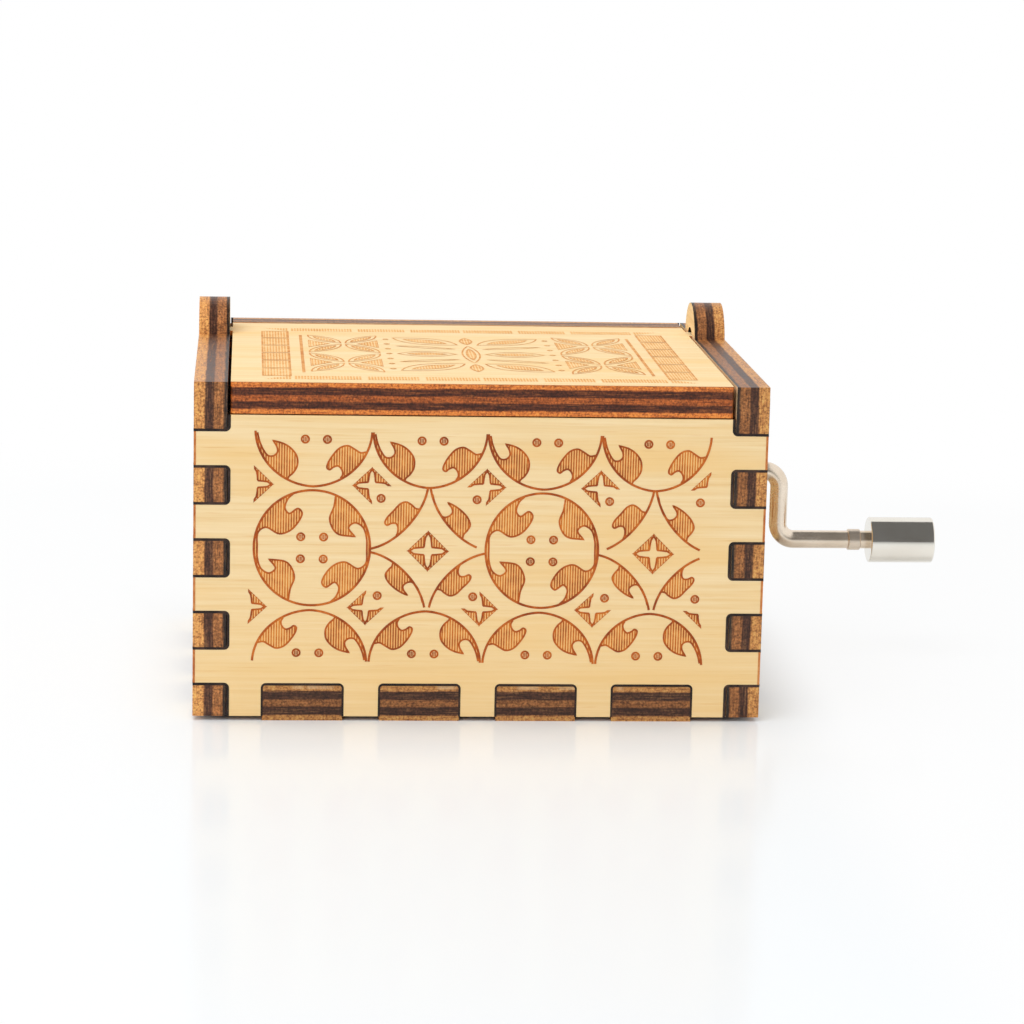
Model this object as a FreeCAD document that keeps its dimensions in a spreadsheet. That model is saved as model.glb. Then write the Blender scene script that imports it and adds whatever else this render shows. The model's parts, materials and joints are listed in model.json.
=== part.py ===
"""Hand-crank cylinder music box in a finger-jointed plywood case, in millimetres.

Frame: origin in the middle of the case's underside, +X towards the crank, +Y towards the hinge, +Z up.
The case is five flat panels that key into each other with fingers, and a lid that swings on two square
tabs of its own in round holes of the side panels' ears. The movement is screwed to the bottom panel: a
crank shaft with a worm turns the pinned cylinder, whose pins pluck the steel comb.
"""
import FreeCAD
import Part
import math
import os
from types import SimpleNamespace

import Sketcher
from FreeCAD import Rotation, Vector

doc = FreeCAD.newDocument("MusicBox")

# ---------------------------------------------------------------- driving dimensions
SIZES = {
    # case
    "case_width": 64.0,         # outside, along X
    "case_depth": 52.0,         # outside, along Y
    "case_height": 38.4,        # floor to the top of the closed lid
    "wall_sheet": 3.7,
    "lid_sheet": 3.5,
    "base_sheet": 4.0,
    "wall_lift": 0.5,           # walls stand this far off the floor, on the bottom panel
    "notch_depth": 4.05,        # depth of every notch that takes a finger
    "joint_gap": 0.15,          # round each finger in its notch
    # finger joints at the four corners
    "finger_low": 2.1,          # height of the middle of the lowest finger
    "finger_top": 3.3,          # top of the lid down to the middle of the highest finger
    "finger_height": 4.1,
    "finger_rows": 4,
    # tabs of the bottom panel
    "tab_pitch": 13.15,
    "tab_width": 9.0,
    "front_tabs": 4,
    "side_tabs": 3,
    "tab_headroom": 0.25,       # between a tab and the top of its slot
    # lid and its hinge
    "lid_side_gap": 0.35,
    "lid_rest_gap": 0.15,       # under the closed lid, over the front panel
    "lid_corner": 0.5,
    "hinge_inset": 10.0,        # hinge line to the back of the case
    "lid_tail": 5.7,            # lid behind its hinge line
    "hinge_clear": 0.15,        # round the corners of the square tab
    "ear_radius": 4.6,
    "ear_rise": 3.9,            # ear top over the lid
    # crank
    "rod_radius": 1.1,
    "shaft_inset": 3.5,         # shaft in front of the rear bracket's plate
    "shaft_hole_clear": 0.5,    # round the rod in the right panel
    "arm_gap": 7.25,            # right panel to the crank arm's centre line
    "crank_throw": 8.6,
    "bend_radius": 2.0,
    "run_clear": 0.05,          # running fit of a shaft in its bearing
    "collar_reach": 8.75,       # crank arm's centre line to the collar
    "collar_length": 1.5,
    "collar_wall": 0.2,
    "knob_gap": 0.6,            # collar to knob
    "knob_radius": 2.8,
    "knob_length": 8.4,
    "knob_shoulder": 0.95,
    "knob_neck": 1.7,           # radius where the shoulder starts
    "knob_edge": 0.3,
    "knob_floor": 1.2,          # closed end of the knob
    "swage_length": 0.6,        # flared end of the rod that keeps the knob on
    "swage_rise": 0.25,
    "end_play": 0.2,
    # worm and wheel
    "gear_module": 0.6,
    "gear_teeth": 20,
    "gear_thick": 2.0,
    "gear_tooth": 0.76,         # tooth thickness on the pitch circle
    "gear_hub": 2.0,            # hub radius
    "worm_pitch_radius": 2.6,
    "worm_thread": 0.6,         # thread thickness on the pitch line
    "worm_length": 7.6,
    "worm_turns": 2,
    "tooth_rise": 0.55,         # outside the pitch line, thread and tooth alike
    "tooth_root": 0.7,          # inside the pitch line
    "tooth_sink": 0.15,         # root buried in the core that carries it
    "flank_slope": 0.3,         # half width gained per height, about 17 degrees
    # cylinder
    "cylinder_inset": 10.0,     # cylinder axis to the bedplate's right end
    "drum_radius": 6.2,
    "drum_wall": 0.8,
    "drum_gap": 2.6,            # front bearing's plate to the drum
    "gear_gap": 1.9,            # drum to gear
    "drum_clear": 1.1,          # pins' circle over the bedplate
    "arbor_radius": 1.0,
    "cap_thick": 1.2,
    "cap_inset": 0.4,
    "side_play": 0.3,           # hub to bearing plate, along the arbor
    "pin_radius": 0.25,         # pin's axis to its corners
    "pin_rise": 0.7,
    "pins_per_track": 4,
    # comb
    "comb_teeth": 18,
    "tooth_slit": 0.28,
    "comb_thick": 0.8,
    "tip_gap": 0.15,            # tooth tips to the pins' circle
    "comb_inset": 1.95,         # comb's heel to the bedplate's left end
    "bass_root": 0.2,           # bass slit runs this far over the bridge
    "tooth_taper": 4.0,         # treble teeth shorter than bass teeth by this
    "comb_margin": 0.8,         # comb beside its outer teeth
    "weighted_teeth": 7,
    "weight_length": 2.6,
    "weight_inset": 0.9,        # weight behind the tooth tip
    "weight_rise": 1.6,
    # bedplate and brackets
    "bed_left_gap": 6.3,        # bedplate to the left panel
    "bed_right_gap": 11.3,
    "bed_end_gap": 1.5,         # bedplate to the front and rear panels
    "bed_thick": 1.8,
    "bed_corner": 2.5,
    "bed_screw_inset": 3.6,
    "bridge_length": 8.6,
    "bridge_window": 4.0,
    "bridge_wall": 1.6,
    "bracket_sheet": 1.0,
    "bracket_width": 12.0,
    "bracket_foot": 5.0,
    "bracket_corner": 3.5,
    "rear_foot_gap": 0.8,       # shaft bracket's foot to the bedplate's end
    "front_foot_gap": 0.2,      # front bearing's foot to the bedplate's end
    "bearing_head": 3.6,        # plate over the arbor's centre
    "arm_reach": 3.0,           # arm in front of the shaft's centre
    "arm_half": 2.5,            # half the arm's height
    "thrust_gap": 0.3,          # worm to bracket arm
    # screws
    "screw_radius": 0.9,
    "screw_head_radius": 1.75,
    "screw_head": 1.1,
    "screw_slot": 0.45,
    "screw_clear": 0.1,
    "comb_screw_inset": 3.8,    # from the comb's sides
    "comb_screw_depth": 3.0,
    "base_pocket": 1.5,         # screw head pocket under the bottom panel
}

sheet = doc.addObject("Spreadsheet::Sheet", "Sizes")
for row, (alias, number) in enumerate(SIZES.items(), start=1):
    sheet.set("A%d" % row, alias)
    sheet.set("B%d" % row, str(number))
    sheet.setAlias("B%d" % row, alias)
doc.recompute()


class Size:
    """A number that remembers how it is worked out from the sheet's cells."""

    def __init__(self, text, number):
        self.text = text
        self.number = number

    def join(self, sign, other, number):
        return Size("(%s %s %s)" % (self.text, sign, other.text), number)

    def __add__(self, other):
        other = as_size(other)
        return self.join("+", other, self.number + other.number)

    def __sub__(self, other):
        other = as_size(other)
        return self.join("-", other, self.number - other.number)

    def __mul__(self, other):
        other = as_size(other)
        return self.join("*", other, self.number * other.number)

    def __truediv__(self, other):
        other = as_size(other)
        return self.join("/", other, self.number / other.number)

    def __radd__(self, other):
        return as_size(other) + self

    def __rsub__(self, other):
        return as_size(other) - self

    def __rmul__(self, other):
        return as_size(other) * self

    def __neg__(self):
        return as_size(-1) * self


def as_size(number):
    return number if isinstance(number, Size) else Size(repr(float(number)), float(number))


def root(size):
    return Size("sqrt(%s)" % size.text, math.sqrt(size.number))


S = SimpleNamespace(**{alias: Size("Sizes." + alias, float(number)) for alias, number in SIZES.items()})

# ---------------------------------------------------------------- places that pieces share
OVERCUT = 1.0                   # how far a cutting shape runs past what it cuts
PIN_SIDES = 4
half_width = S.case_width / 2
half_depth = S.case_depth / 2
inner_width = half_width - S.wall_sheet
inner_depth = half_depth - S.wall_sheet
slot_height = S.finger_height + 2 * S.joint_gap
tab_slot = S.tab_width + 2 * S.joint_gap
tab_slot_top = S.base_sheet + S.tab_headroom
front_top = S.case_height - S.lid_sheet - S.lid_rest_gap
top_finger = S.case_height - S.finger_top - S.finger_height / 2
finger_pitch = (S.case_height - S.finger_top - S.finger_low) / S.finger_rows
hinge_back = half_depth - S.hinge_inset
hinge_height = S.case_height - S.lid_sheet / 2
bed_top = S.base_sheet + S.bed_thick
bed_left = S.bed_left_gap - inner_width
bed_right = inner_width - S.bed_right_gap
bed_half = inner_depth - S.bed_end_gap
front_plate_out = S.front_foot_gap + S.bracket_foot - bed_half
front_plate = front_plate_out + S.bracket_sheet
rear_plate_back = bed_half - S.rear_foot_gap - S.bracket_foot
rear_plate = rear_plate_back - S.bracket_sheet
cylinder_side = bed_right - S.cylinder_inset
pin_circle = S.drum_radius + S.pin_rise
axis_height = bed_top + S.drum_clear + pin_circle
gear_radius = S.gear_module * S.gear_teeth / 2
worm_lead = math.pi * S.gear_module
shaft_height = axis_height + gear_radius + S.worm_pitch_radius
shaft_back = rear_plate - S.shaft_inset
drum_front = front_plate + S.drum_gap
drum_back = shaft_back - S.gear_thick / 2 - S.gear_gap
drum_length = drum_back - drum_front
drum_middle = (drum_front + drum_back) / 2
tip_side = cylinder_side - pin_circle - S.tip_gap
comb_left = bed_left + S.comb_inset
comb_under = axis_height - S.comb_thick / 2
comb_half = drum_length / 2
teeth_half = comb_half - S.comb_margin
tooth_pitch = 2 * teeth_half / S.comb_teeth
bass_tooth = tip_side - comb_left - S.bridge_length + S.bass_root
treble_tooth = bass_tooth - S.tooth_taper
crank_out = half_width + S.arm_gap
collar_start = crank_out + S.collar_reach
knob_start = collar_start + S.collar_length + S.knob_gap
knob_end = knob_start + S.knob_length
rod_end = knob_end - S.knob_floor - S.end_play
knob_height = shaft_height - S.crank_throw
arm_inside = S.worm_length / 2 + S.thrust_gap
shaft_start = cylinder_side - arm_inside - S.bracket_sheet - OVERCUT
comb_screws = [(comb_left + S.bridge_length / 2, drum_middle + end * (comb_half - S.comb_screw_inset))
               for end in (-1, 1)]
rear_screw = (cylinder_side, rear_plate_back + S.bracket_foot / 2)
front_screw = (cylinder_side, front_plate_out - S.bracket_foot / 2)
bed_screws = [(bed_left + S.bed_screw_inset, S.bed_screw_inset - bed_half),
              (bed_right - S.bed_screw_inset / 2, bed_half - S.bed_screw_inset)]


# ---------------------------------------------------------------- helpers: sketches and features
def bind(item, **sizes):
    for name, size in sizes.items():
        item.setExpression(name, as_size(size).text)
    return item


def origin_item(body, role):
    return next(item for item in body.Origin.OriginFeatures if item.Role == role)


def new_body(name):
    body = doc.addObject("PartDesign::Body", name)
    body.Label = name
    return body


def new_sketch(body, plane, offset=0, origin=(0, 0)):
    """A sketch on an origin plane of the body: XY faces +Z, XZ faces -Y and YZ faces +X."""
    sketch = body.newObject("Sketcher::SketchObject", body.Name + "_sketch")
    sketch.AttachmentSupport = (origin_item(body, plane + "_Plane"), [""])
    sketch.MapMode = "FlatFace"
    for axis, size in zip("xyz", (*origin, offset)):
        sketch.setExpression("AttachmentOffset.Base." + axis, as_size(size).text)
    return sketch


def hold(sketch, kind, where, size):
    """Add one dimension to the sketch and bind it to the sheet."""
    index = sketch.addConstraint(Sketcher.Constraint(kind, *where, as_size(size).number))
    sketch.setExpression("Constraints[%d]" % index, as_size(size).text)


def hold_point(sketch, item, vertex, x, y):
    hold(sketch, "DistanceX", (-1, 1, item, vertex), x)
    hold(sketch, "DistanceY", (-1, 1, item, vertex), y)


def flat(x, y):
    return Vector(as_size(x).number, as_size(y).number, 0)


def polygon(sketch, corners):
    """A closed outline of straight lines through the corners."""
    count = len(corners)
    ends = [flat(*corner) for corner in corners]
    lines = [sketch.addGeometry(Part.LineSegment(ends[i], ends[(i + 1) % count])) for i in range(count)]
    for i, line in enumerate(lines):
        sketch.addConstraint(Sketcher.Constraint("Coincident", line, 2, lines[(i + 1) % count], 1))
        hold_point(sketch, line, 1, *corners[i])
    return sketch


def rectangle(sketch, x, y):
    return polygon(sketch, [(x[0], y[0]), (x[1], y[0]), (x[1], y[1]), (x[0], y[1])])


def circle(sketch, x, y, radius):
    item = sketch.addGeometry(Part.Circle(flat(x, y), Vector(0, 0, 1), as_size(radius).number))
    hold_point(sketch, item, 3, x, y)
    hold(sketch, "Radius", (item,), radius)
    return sketch


def pad(body, sketch, length, backwards=False, symmetric=False):
    feature = body.newObject("PartDesign::Pad", body.Name + "_pad")
    feature.Profile = sketch
    feature.Reversed = backwards
    feature.SideType = "Symmetric" if symmetric else "One side"
    return bind(feature, Length=length)


def pocket(body, sketch, depth=None, backwards=False):
    """A cut through the whole body, or to a depth against the sketch's facing direction."""
    feature = body.newObject("PartDesign::Pocket", body.Name + "_pocket")
    feature.Profile = sketch
    if depth is None:
        feature.Type = "ThroughAll"
        feature.SideType = "Symmetric"
        return feature
    feature.Reversed = backwards
    return bind(feature, Length=depth)


def row(body, feature, axis, count, pitch):
    """Repeat a feature along an origin axis of the body."""
    pattern = body.newObject("PartDesign::LinearPattern", body.Name + "_row")
    pattern.Originals = [feature]
    pattern.Direction = (origin_item(body, axis + "_Axis"), [""])
    pattern.Mode = "Spacing"
    body.Tip = pattern
    return bind(pattern, Offset=pitch, Occurrences=count)


def upright_edges(shape, chosen):
    """Names of the straight edges along Z whose middle passes the test."""
    names = []
    for number, edge in enumerate(shape.Edges, start=1):
        box = edge.BoundBox
        along_z = box.ZLength > 0 and box.XLength < 1e-6 and box.YLength < 1e-6
        if along_z and chosen(box.Center):
            names.append("Edge%d" % number)
    return names


def edges_along_y(shape, chosen):
    names = []
    for number, edge in enumerate(shape.Edges, start=1):
        box = edge.BoundBox
        along_y = box.YLength > 0 and box.XLength < 1e-6 and box.ZLength < 1e-6
        if along_y and chosen(box.Center):
            names.append("Edge%d" % number)
    return names


def fillet(body, feature, names, radius):
    rounded = body.newObject("PartDesign::Fillet", body.Name + "_fillet")
    rounded.Base = (feature, names)
    return bind(rounded, Radius=radius)


# ---------------------------------------------------------------- helpers: primitives
def place(item, x, y, z, rotation=Rotation()):
    item.Placement.Rotation = rotation
    for axis, size in zip("xyz", (x, y, z)):
        item.setExpression("Placement.Base." + axis, as_size(size).text)
    return item


ALONG_X = Rotation(Vector(0, 1, 0), 90)
ALONG_Y = Rotation(Vector(1, 0, 0), -90)


def block(name, x, y, z):
    item = doc.addObject("Part::Box", name)
    bind(item, Length=x[1] - x[0], Width=y[1] - y[0], Height=z[1] - z[0])
    return place(item, x[0], y[0], z[0])


def round_bar(name, radius, length, start, rotation=Rotation()):
    item = doc.addObject("Part::Cylinder", name)
    bind(item, Radius=radius, Height=length)
    return place(item, *start, rotation)


def fuse(name, items):
    joined = doc.addObject("Part::MultiFuse", name)
    joined.Shapes = items
    return joined


def cut(name, base, tool):
    remains = doc.addObject("Part::Cut", name)
    remains.Base = base
    remains.Tool = tool
    return remains


def group(name, items):
    """Separate solids kept together as one sub-part."""
    together = doc.addObject("Part::Compound", name)
    together.Links = items
    return together


# ---------------------------------------------------------------- case
def end_panel(name, side, top):
    """Front or rear panel: notches at both ends for the side panels' fingers, slots for the tabs below."""
    body = new_body(name)
    plane_offset = -side * half_depth
    face = rectangle(new_sketch(body, "XZ", plane_offset), (-half_width, half_width), (S.wall_lift, top))
    pad(body, face, S.wall_sheet, backwards=side < 0)

    def notches(low, high):
        sketch = new_sketch(body, "XZ", plane_offset)
        for end in (-1, 1):
            span = (end * (half_width - S.notch_depth), end * (half_width + OVERCUT))
            rectangle(sketch, span, (low, high))
        return pocket(body, sketch)

    lowest = notches(S.finger_low - slot_height / 2, S.finger_low + slot_height / 2)
    row(body, lowest, "Z", S.finger_rows, finger_pitch)
    notches(top_finger - S.joint_gap, S.case_height + OVERCUT)

    first = (S.front_tabs - 1) / -2 * S.tab_pitch
    sketch = new_sketch(body, "XZ", plane_offset)
    rectangle(sketch, (first - tab_slot / 2, first + tab_slot / 2), (S.wall_lift - OVERCUT, tab_slot_top))
    row(body, pocket(body, sketch), "X", S.front_tabs, S.tab_pitch)
    return body


def side_panel(name, side):
    """Left or right panel: fingers at both ends, an ear with the hinge hole, slots for the tabs below."""
    body = new_body(name)
    plane_offset = side * half_width
    inwards = side > 0
    face = rectangle(new_sketch(body, "YZ", plane_offset), (-half_depth, half_depth),
                     (S.wall_lift, S.case_height))
    pad(body, face, S.wall_sheet, backwards=inwards)
    ear_height = S.case_height + S.ear_rise - S.ear_radius
    ear = circle(new_sketch(body, "YZ", plane_offset), hinge_back, ear_height, S.ear_radius)
    pad(body, ear, S.wall_sheet, backwards=inwards)

    notch = new_sketch(body, "YZ", plane_offset)
    notch_low = S.finger_low + S.finger_height / 2
    for end in (-1, 1):
        span = (end * (half_depth - S.notch_depth), end * (half_depth + OVERCUT))
        rectangle(notch, span, (notch_low, notch_low + finger_pitch - S.finger_height))
    row(body, pocket(body, notch), "Z", S.finger_rows, finger_pitch)

    first = (S.side_tabs - 1) / -2 * S.tab_pitch
    slot = new_sketch(body, "YZ", plane_offset)
    rectangle(slot, (first - tab_slot / 2, first + tab_slot / 2), (S.wall_lift - OVERCUT, tab_slot_top))
    row(body, pocket(body, slot), "Y", S.side_tabs, S.tab_pitch)

    hinge_hole = root(as_size(2)) * S.lid_sheet / 2 + S.hinge_clear
    pocket(body, circle(new_sketch(body, "YZ", plane_offset), hinge_back, hinge_height, hinge_hole))
    return body


def right_panel():
    body = side_panel("right_panel", 1)
    hole = new_sketch(body, "YZ", half_width)
    pocket(body, circle(hole, shaft_back, shaft_height, S.rod_radius + S.shaft_hole_clear))
    return body


def bottom_panel():
    """Bottom sheet inside the walls, with tabs through their slots and pockets for the bedplate screws."""
    body = new_body("bottom_panel")
    inside = (inner_width - S.joint_gap, inner_depth - S.joint_gap)
    floor = rectangle(new_sketch(body, "XY"), (-inside[0], inside[0]), (-inside[1], inside[1]))
    pad(body, floor, S.base_sheet)

    first = (S.front_tabs - 1) / -2 * S.tab_pitch
    strip = new_sketch(body, "XY")
    rectangle(strip, (first - S.tab_width / 2, first + S.tab_width / 2), (-half_depth, half_depth))
    row(body, pad(body, strip, S.base_sheet), "X", S.front_tabs, S.tab_pitch)

    first = (S.side_tabs - 1) / -2 * S.tab_pitch
    strip = new_sketch(body, "XY")
    rectangle(strip, (-half_width, half_width), (first - S.tab_width / 2, first + S.tab_width / 2))
    row(body, pad(body, strip, S.base_sheet), "Y", S.side_tabs, S.tab_pitch)

    for x, y in bed_screws:
        pocket(body, circle(new_sketch(body, "XY"), x, y, S.screw_radius + S.screw_clear))
        head = circle(new_sketch(body, "XY"), x, y, S.screw_head_radius + S.screw_clear)
        pocket(body, head, S.base_pocket, backwards=True)
    return body


def lid():
    """Flat lid between the side panels, with a square tab at each end of its hinge line."""
    body = new_body("lid")
    under = S.case_height - S.lid_sheet
    half = inner_width - S.lid_side_gap
    outline = new_sketch(body, "XY", under)
    rectangle(outline, (-half, half), (-half_depth, hinge_back + S.lid_tail))
    plate = pad(body, outline, S.lid_sheet)
    doc.recompute()
    corners = upright_edges(plate.Shape, lambda middle: middle.y < 0)
    fillet(body, plate, corners, S.lid_corner)
    tab = new_sketch(body, "XY", under)
    tab_half = S.lid_sheet / 2
    rectangle(tab, (-half_width, half_width), (hinge_back - tab_half, hinge_back + tab_half))
    pad(body, tab, S.lid_sheet)
    return body


# ---------------------------------------------------------------- bedplate and brackets
def bedplate():
    """Cast plate with the hollow bridge that carries the comb."""
    body = new_body("bedplate")
    outline = new_sketch(body, "XY", S.base_sheet)
    rectangle(outline, (bed_left, bed_right), (-bed_half, bed_half))
    plate = pad(body, outline, S.bed_thick)
    doc.recompute()
    fillet(body, plate, upright_edges(plate.Shape, lambda middle: True), S.bed_corner)

    bridge = new_sketch(body, "XY", S.base_sheet)
    bridge_span = (comb_left, comb_left + S.bridge_length)
    rectangle(bridge, bridge_span, (drum_middle - comb_half, drum_middle + comb_half))
    pad(body, bridge, comb_under - S.base_sheet)
    window = new_sketch(body, "XZ")
    rectangle(window, (bridge_span[0] + S.bridge_wall, bridge_span[1] - S.bridge_wall),
              (bed_top, bed_top + S.bridge_window))
    pocket(body, window)

    threads = new_sketch(body, "XY", comb_under)
    for x, y in comb_screws:
        circle(threads, x, y, S.screw_radius)
    pocket(body, threads, S.comb_screw_depth)
    holes = new_sketch(body, "XY", bed_top)
    for x, y in [rear_screw, front_screw] + bed_screws:
        circle(holes, x, y, S.screw_radius)
    pocket(body, holes, S.bed_thick)
    return body


def bent_bracket(name, plate, foot_end, top, screw_place):
    """Sheet bent to an L: a foot with a screw hole and an upright plate with the arbor's bearing."""
    body = new_body(name)
    profile = new_sketch(body, "YZ", cylinder_side)
    near, far = plate
    polygon(profile, [(near, bed_top), (foot_end, bed_top), (foot_end, bed_top + S.bracket_sheet),
                      (far, bed_top + S.bracket_sheet), (far, top), (near, top)])
    bent = pad(body, profile, S.bracket_width, symmetric=True)
    doc.recompute()
    top_edges = edges_along_y(bent.Shape, lambda middle: middle.z > top.number - 1e-3)
    fillet(body, bent, top_edges, S.bracket_corner)
    bearing = circle(new_sketch(body, "XZ"), cylinder_side, axis_height, S.arbor_radius + S.run_clear)
    pocket(body, bearing)
    pocket(body, circle(new_sketch(body, "XY"), *screw_place, S.screw_radius + S.screw_clear))
    return body


def front_bearing():
    return bent_bracket("front_bearing", (front_plate, front_plate_out), front_plate_out - S.bracket_foot,
                        axis_height + S.bearing_head, front_screw)


def shaft_bracket():
    """Rear bracket: it also carries the crank shaft in two arms that reach forward over the gear."""
    body = bent_bracket("shaft_bracket", (rear_plate, rear_plate_back), rear_plate_back + S.bracket_foot,
                        shaft_height + S.arm_half, rear_screw)
    reach = (shaft_back - S.arm_reach, rear_plate_back)
    height = (shaft_height - S.arm_half, shaft_height + S.arm_half)
    for end in (-1, 1):
        arm = new_sketch(body, "YZ", cylinder_side + end * (arm_inside + S.bracket_sheet / 2))
        pad(body, rectangle(arm, reach, height), S.bracket_sheet, symmetric=True)
    bore = new_sketch(body, "YZ", cylinder_side)
    pocket(body, circle(bore, shaft_back, shaft_height, S.rod_radius + S.run_clear))
    return body


# ---------------------------------------------------------------- screws
def screw(name, x, y, seat, length, up=1):
    """Slotted cheese-head screw: its head rests at the seat's height, its shank goes the other way."""
    shank = round_bar(name + "_shank", S.screw_radius, length, (x, y, seat if up < 0 else seat - length))
    turned = Rotation() if up > 0 else Rotation(Vector(1, 0, 0), 180)
    head = round_bar(name + "_head", S.screw_head_radius, S.screw_head, (x, y, seat), turned)
    slot_floor = seat + up * (S.screw_head / 2)
    slot_end = seat + up * (S.screw_head + OVERCUT)
    low, high = (slot_floor, slot_end) if up > 0 else (slot_end, slot_floor)
    slot = block(name + "_slot", (x - S.screw_head_radius - OVERCUT, x + S.screw_head_radius + OVERCUT),
                 (y - S.screw_slot / 2, y + S.screw_slot / 2), (low, high))
    return cut(name, fuse(name + "_blank", [shank, head]), slot)


def screw_set(name, places, seat, length, up=1):
    screws = [screw("%s_%d" % (name, number), x, y, seat, length, up)
              for number, (x, y) in enumerate(places, start=1)]
    return group(name, screws)


def bracket_screws():
    seat = bed_top + S.bracket_sheet
    return screw_set("bracket_screws", [rear_screw, front_screw], seat, S.bracket_sheet + S.bed_thick)


def base_screws():
    length = S.base_sheet - S.base_pocket + S.bed_thick
    return screw_set("bedplate_screws", bed_screws, S.base_pocket, length, up=-1)


# ---------------------------------------------------------------- comb
def comb():
    """Tuned steel comb: teeth sawn to lengths that shorten from bass to treble."""
    plate = block("comb_plate", (comb_left, tip_side), (drum_middle - comb_half, drum_middle + comb_half),
                  (comb_under, comb_under + S.comb_thick))
    height = (comb_under - OVERCUT, comb_under + S.comb_thick + OVERCUT)
    step = S.tooth_taper / S.comb_teeth
    tools = []
    for number in range(1, SIZES["comb_teeth"]):
        middle = drum_middle - teeth_half + number * tooth_pitch
        slit_start = tip_side - bass_tooth + number * step
        tools.append(block("comb_slit_%d" % number, (slit_start, tip_side + OVERCUT),
                           (middle - S.tooth_slit / 2, middle + S.tooth_slit / 2), height))
    for name, end, tooth in (("comb_bass_edge", -1, bass_tooth), ("comb_treble_edge", 1, treble_tooth)):
        inner = drum_middle + end * (teeth_half - S.tooth_slit / 2)
        outer = drum_middle + end * (comb_half + OVERCUT)
        side = (outer, inner) if end < 0 else (inner, outer)
        tools.append(block(name, (tip_side - tooth, tip_side + OVERCUT), side, height))
    for number, (x, y) in enumerate(comb_screws, start=1):
        tools.append(round_bar("comb_hole_%d" % number, S.screw_radius + S.screw_clear,
                               height[1] - height[0], (x, y, height[0])))
    return cut("comb", plate, fuse("comb_tools", tools))


def comb_weights():
    """Lead under the bass teeth, deeper the lower the note."""
    end = tip_side - S.weight_inset
    weights = []
    for number in range(SIZES["weighted_teeth"]):
        middle = drum_middle - teeth_half + (number + 0.5) * tooth_pitch
        half = (tooth_pitch - S.tooth_slit) / 2
        depth = S.weight_rise * (S.weighted_teeth - number / 2) / S.weighted_teeth
        weights.append(block("comb_weight_%d" % (number + 1), (end - S.weight_length, end),
                             (middle - half, middle + half), (comb_under - depth, comb_under)))
    return group("comb_weights", weights)


# ---------------------------------------------------------------- cylinder
def drum():
    outer = round_bar("drum_outer", S.drum_radius, drum_length, (cylinder_side, drum_front, axis_height),
                      ALONG_Y)
    start = drum_front - OVERCUT
    inner = round_bar("drum_inner", S.drum_radius - S.drum_wall, drum_length + 2 * OVERCUT,
                      (cylinder_side, start, axis_height), ALONG_Y)
    return cut("cylinder_drum", outer, inner)


def turned_on_arbor(name, steps):
    """Stepped disc on the arbor, from (start, end, radius) steps along Y."""
    bars = [round_bar("%s_step_%d" % (name, number), radius, end - start,
                      (cylinder_side, start, axis_height), ALONG_Y)
            for number, (start, end, radius) in enumerate(steps, start=1)]
    first = steps[0][0]
    last = steps[-1][1]
    bore = round_bar(name + "_bore", S.arbor_radius, last - first + 2 * OVERCUT,
                     (cylinder_side, first - OVERCUT, axis_height), ALONG_Y)
    blank = fuse(name + "_blank", bars) if len(bars) > 1 else bars[0]
    return cut(name, blank, bore)


def end_caps():
    """Discs pressed into the drum; the front one has a boss that runs up to the front bearing."""
    inside = S.drum_radius - S.drum_wall
    front = drum_front + S.cap_inset
    back = drum_back - S.cap_inset
    front_cap = turned_on_arbor("front_cap", [(front_plate + S.side_play, front, S.gear_hub),
                                              (front, front + S.cap_thick, inside)])
    rear_cap = turned_on_arbor("rear_cap", [(back - S.cap_thick, back, inside)])
    return group("cylinder_caps", [front_cap, rear_cap])


def arbor():
    start = front_plate_out - S.side_play
    return round_bar("cylinder_arbor", S.arbor_radius, rear_plate_back + S.side_play - start,
                     (cylinder_side, start, axis_height), ALONG_Y)


def gear():
    """Moulded worm wheel with its hub, one tooth straight up under the worm at rest."""
    body = new_body("cylinder_gear")
    centre = (cylinder_side, axis_height)
    front = shaft_back - S.gear_thick / 2
    disc = circle(new_sketch(body, "XZ", -front, centre), 0, 0, gear_radius - S.tooth_root)
    pad(body, disc, S.gear_thick, backwards=True)
    tooth = new_sketch(body, "XZ", -front, centre)
    root_half = S.gear_tooth / 2 + S.tooth_root * S.flank_slope
    tip_half = S.gear_tooth / 2 - S.tooth_rise * S.flank_slope
    low = gear_radius - S.tooth_root - S.tooth_sink
    high = gear_radius + S.tooth_rise
    polygon(tooth, [(-root_half, low), (-root_half, gear_radius - S.tooth_root), (-tip_half, high),
                    (tip_half, high), (root_half, gear_radius - S.tooth_root), (root_half, low)])
    cog = pad(body, tooth, S.gear_thick, backwards=True)
    ring = body.newObject("PartDesign::PolarPattern", "cylinder_gear_ring")
    ring.Originals = [cog]
    ring.Axis = (tooth, ["N_Axis"])
    ring.Angle = 360
    bind(ring, Occurrences=S.gear_teeth)
    body.Tip = ring
    hub_front = drum_back - S.cap_inset
    hub_back = rear_plate - S.side_play
    hub = circle(new_sketch(body, "XZ", -hub_front, centre), 0, 0, S.gear_hub)
    pad(body, hub, hub_back - hub_front, backwards=True)
    pocket(body, circle(new_sketch(body, "XZ", 0, centre), 0, 0, S.arbor_radius))
    return body


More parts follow.
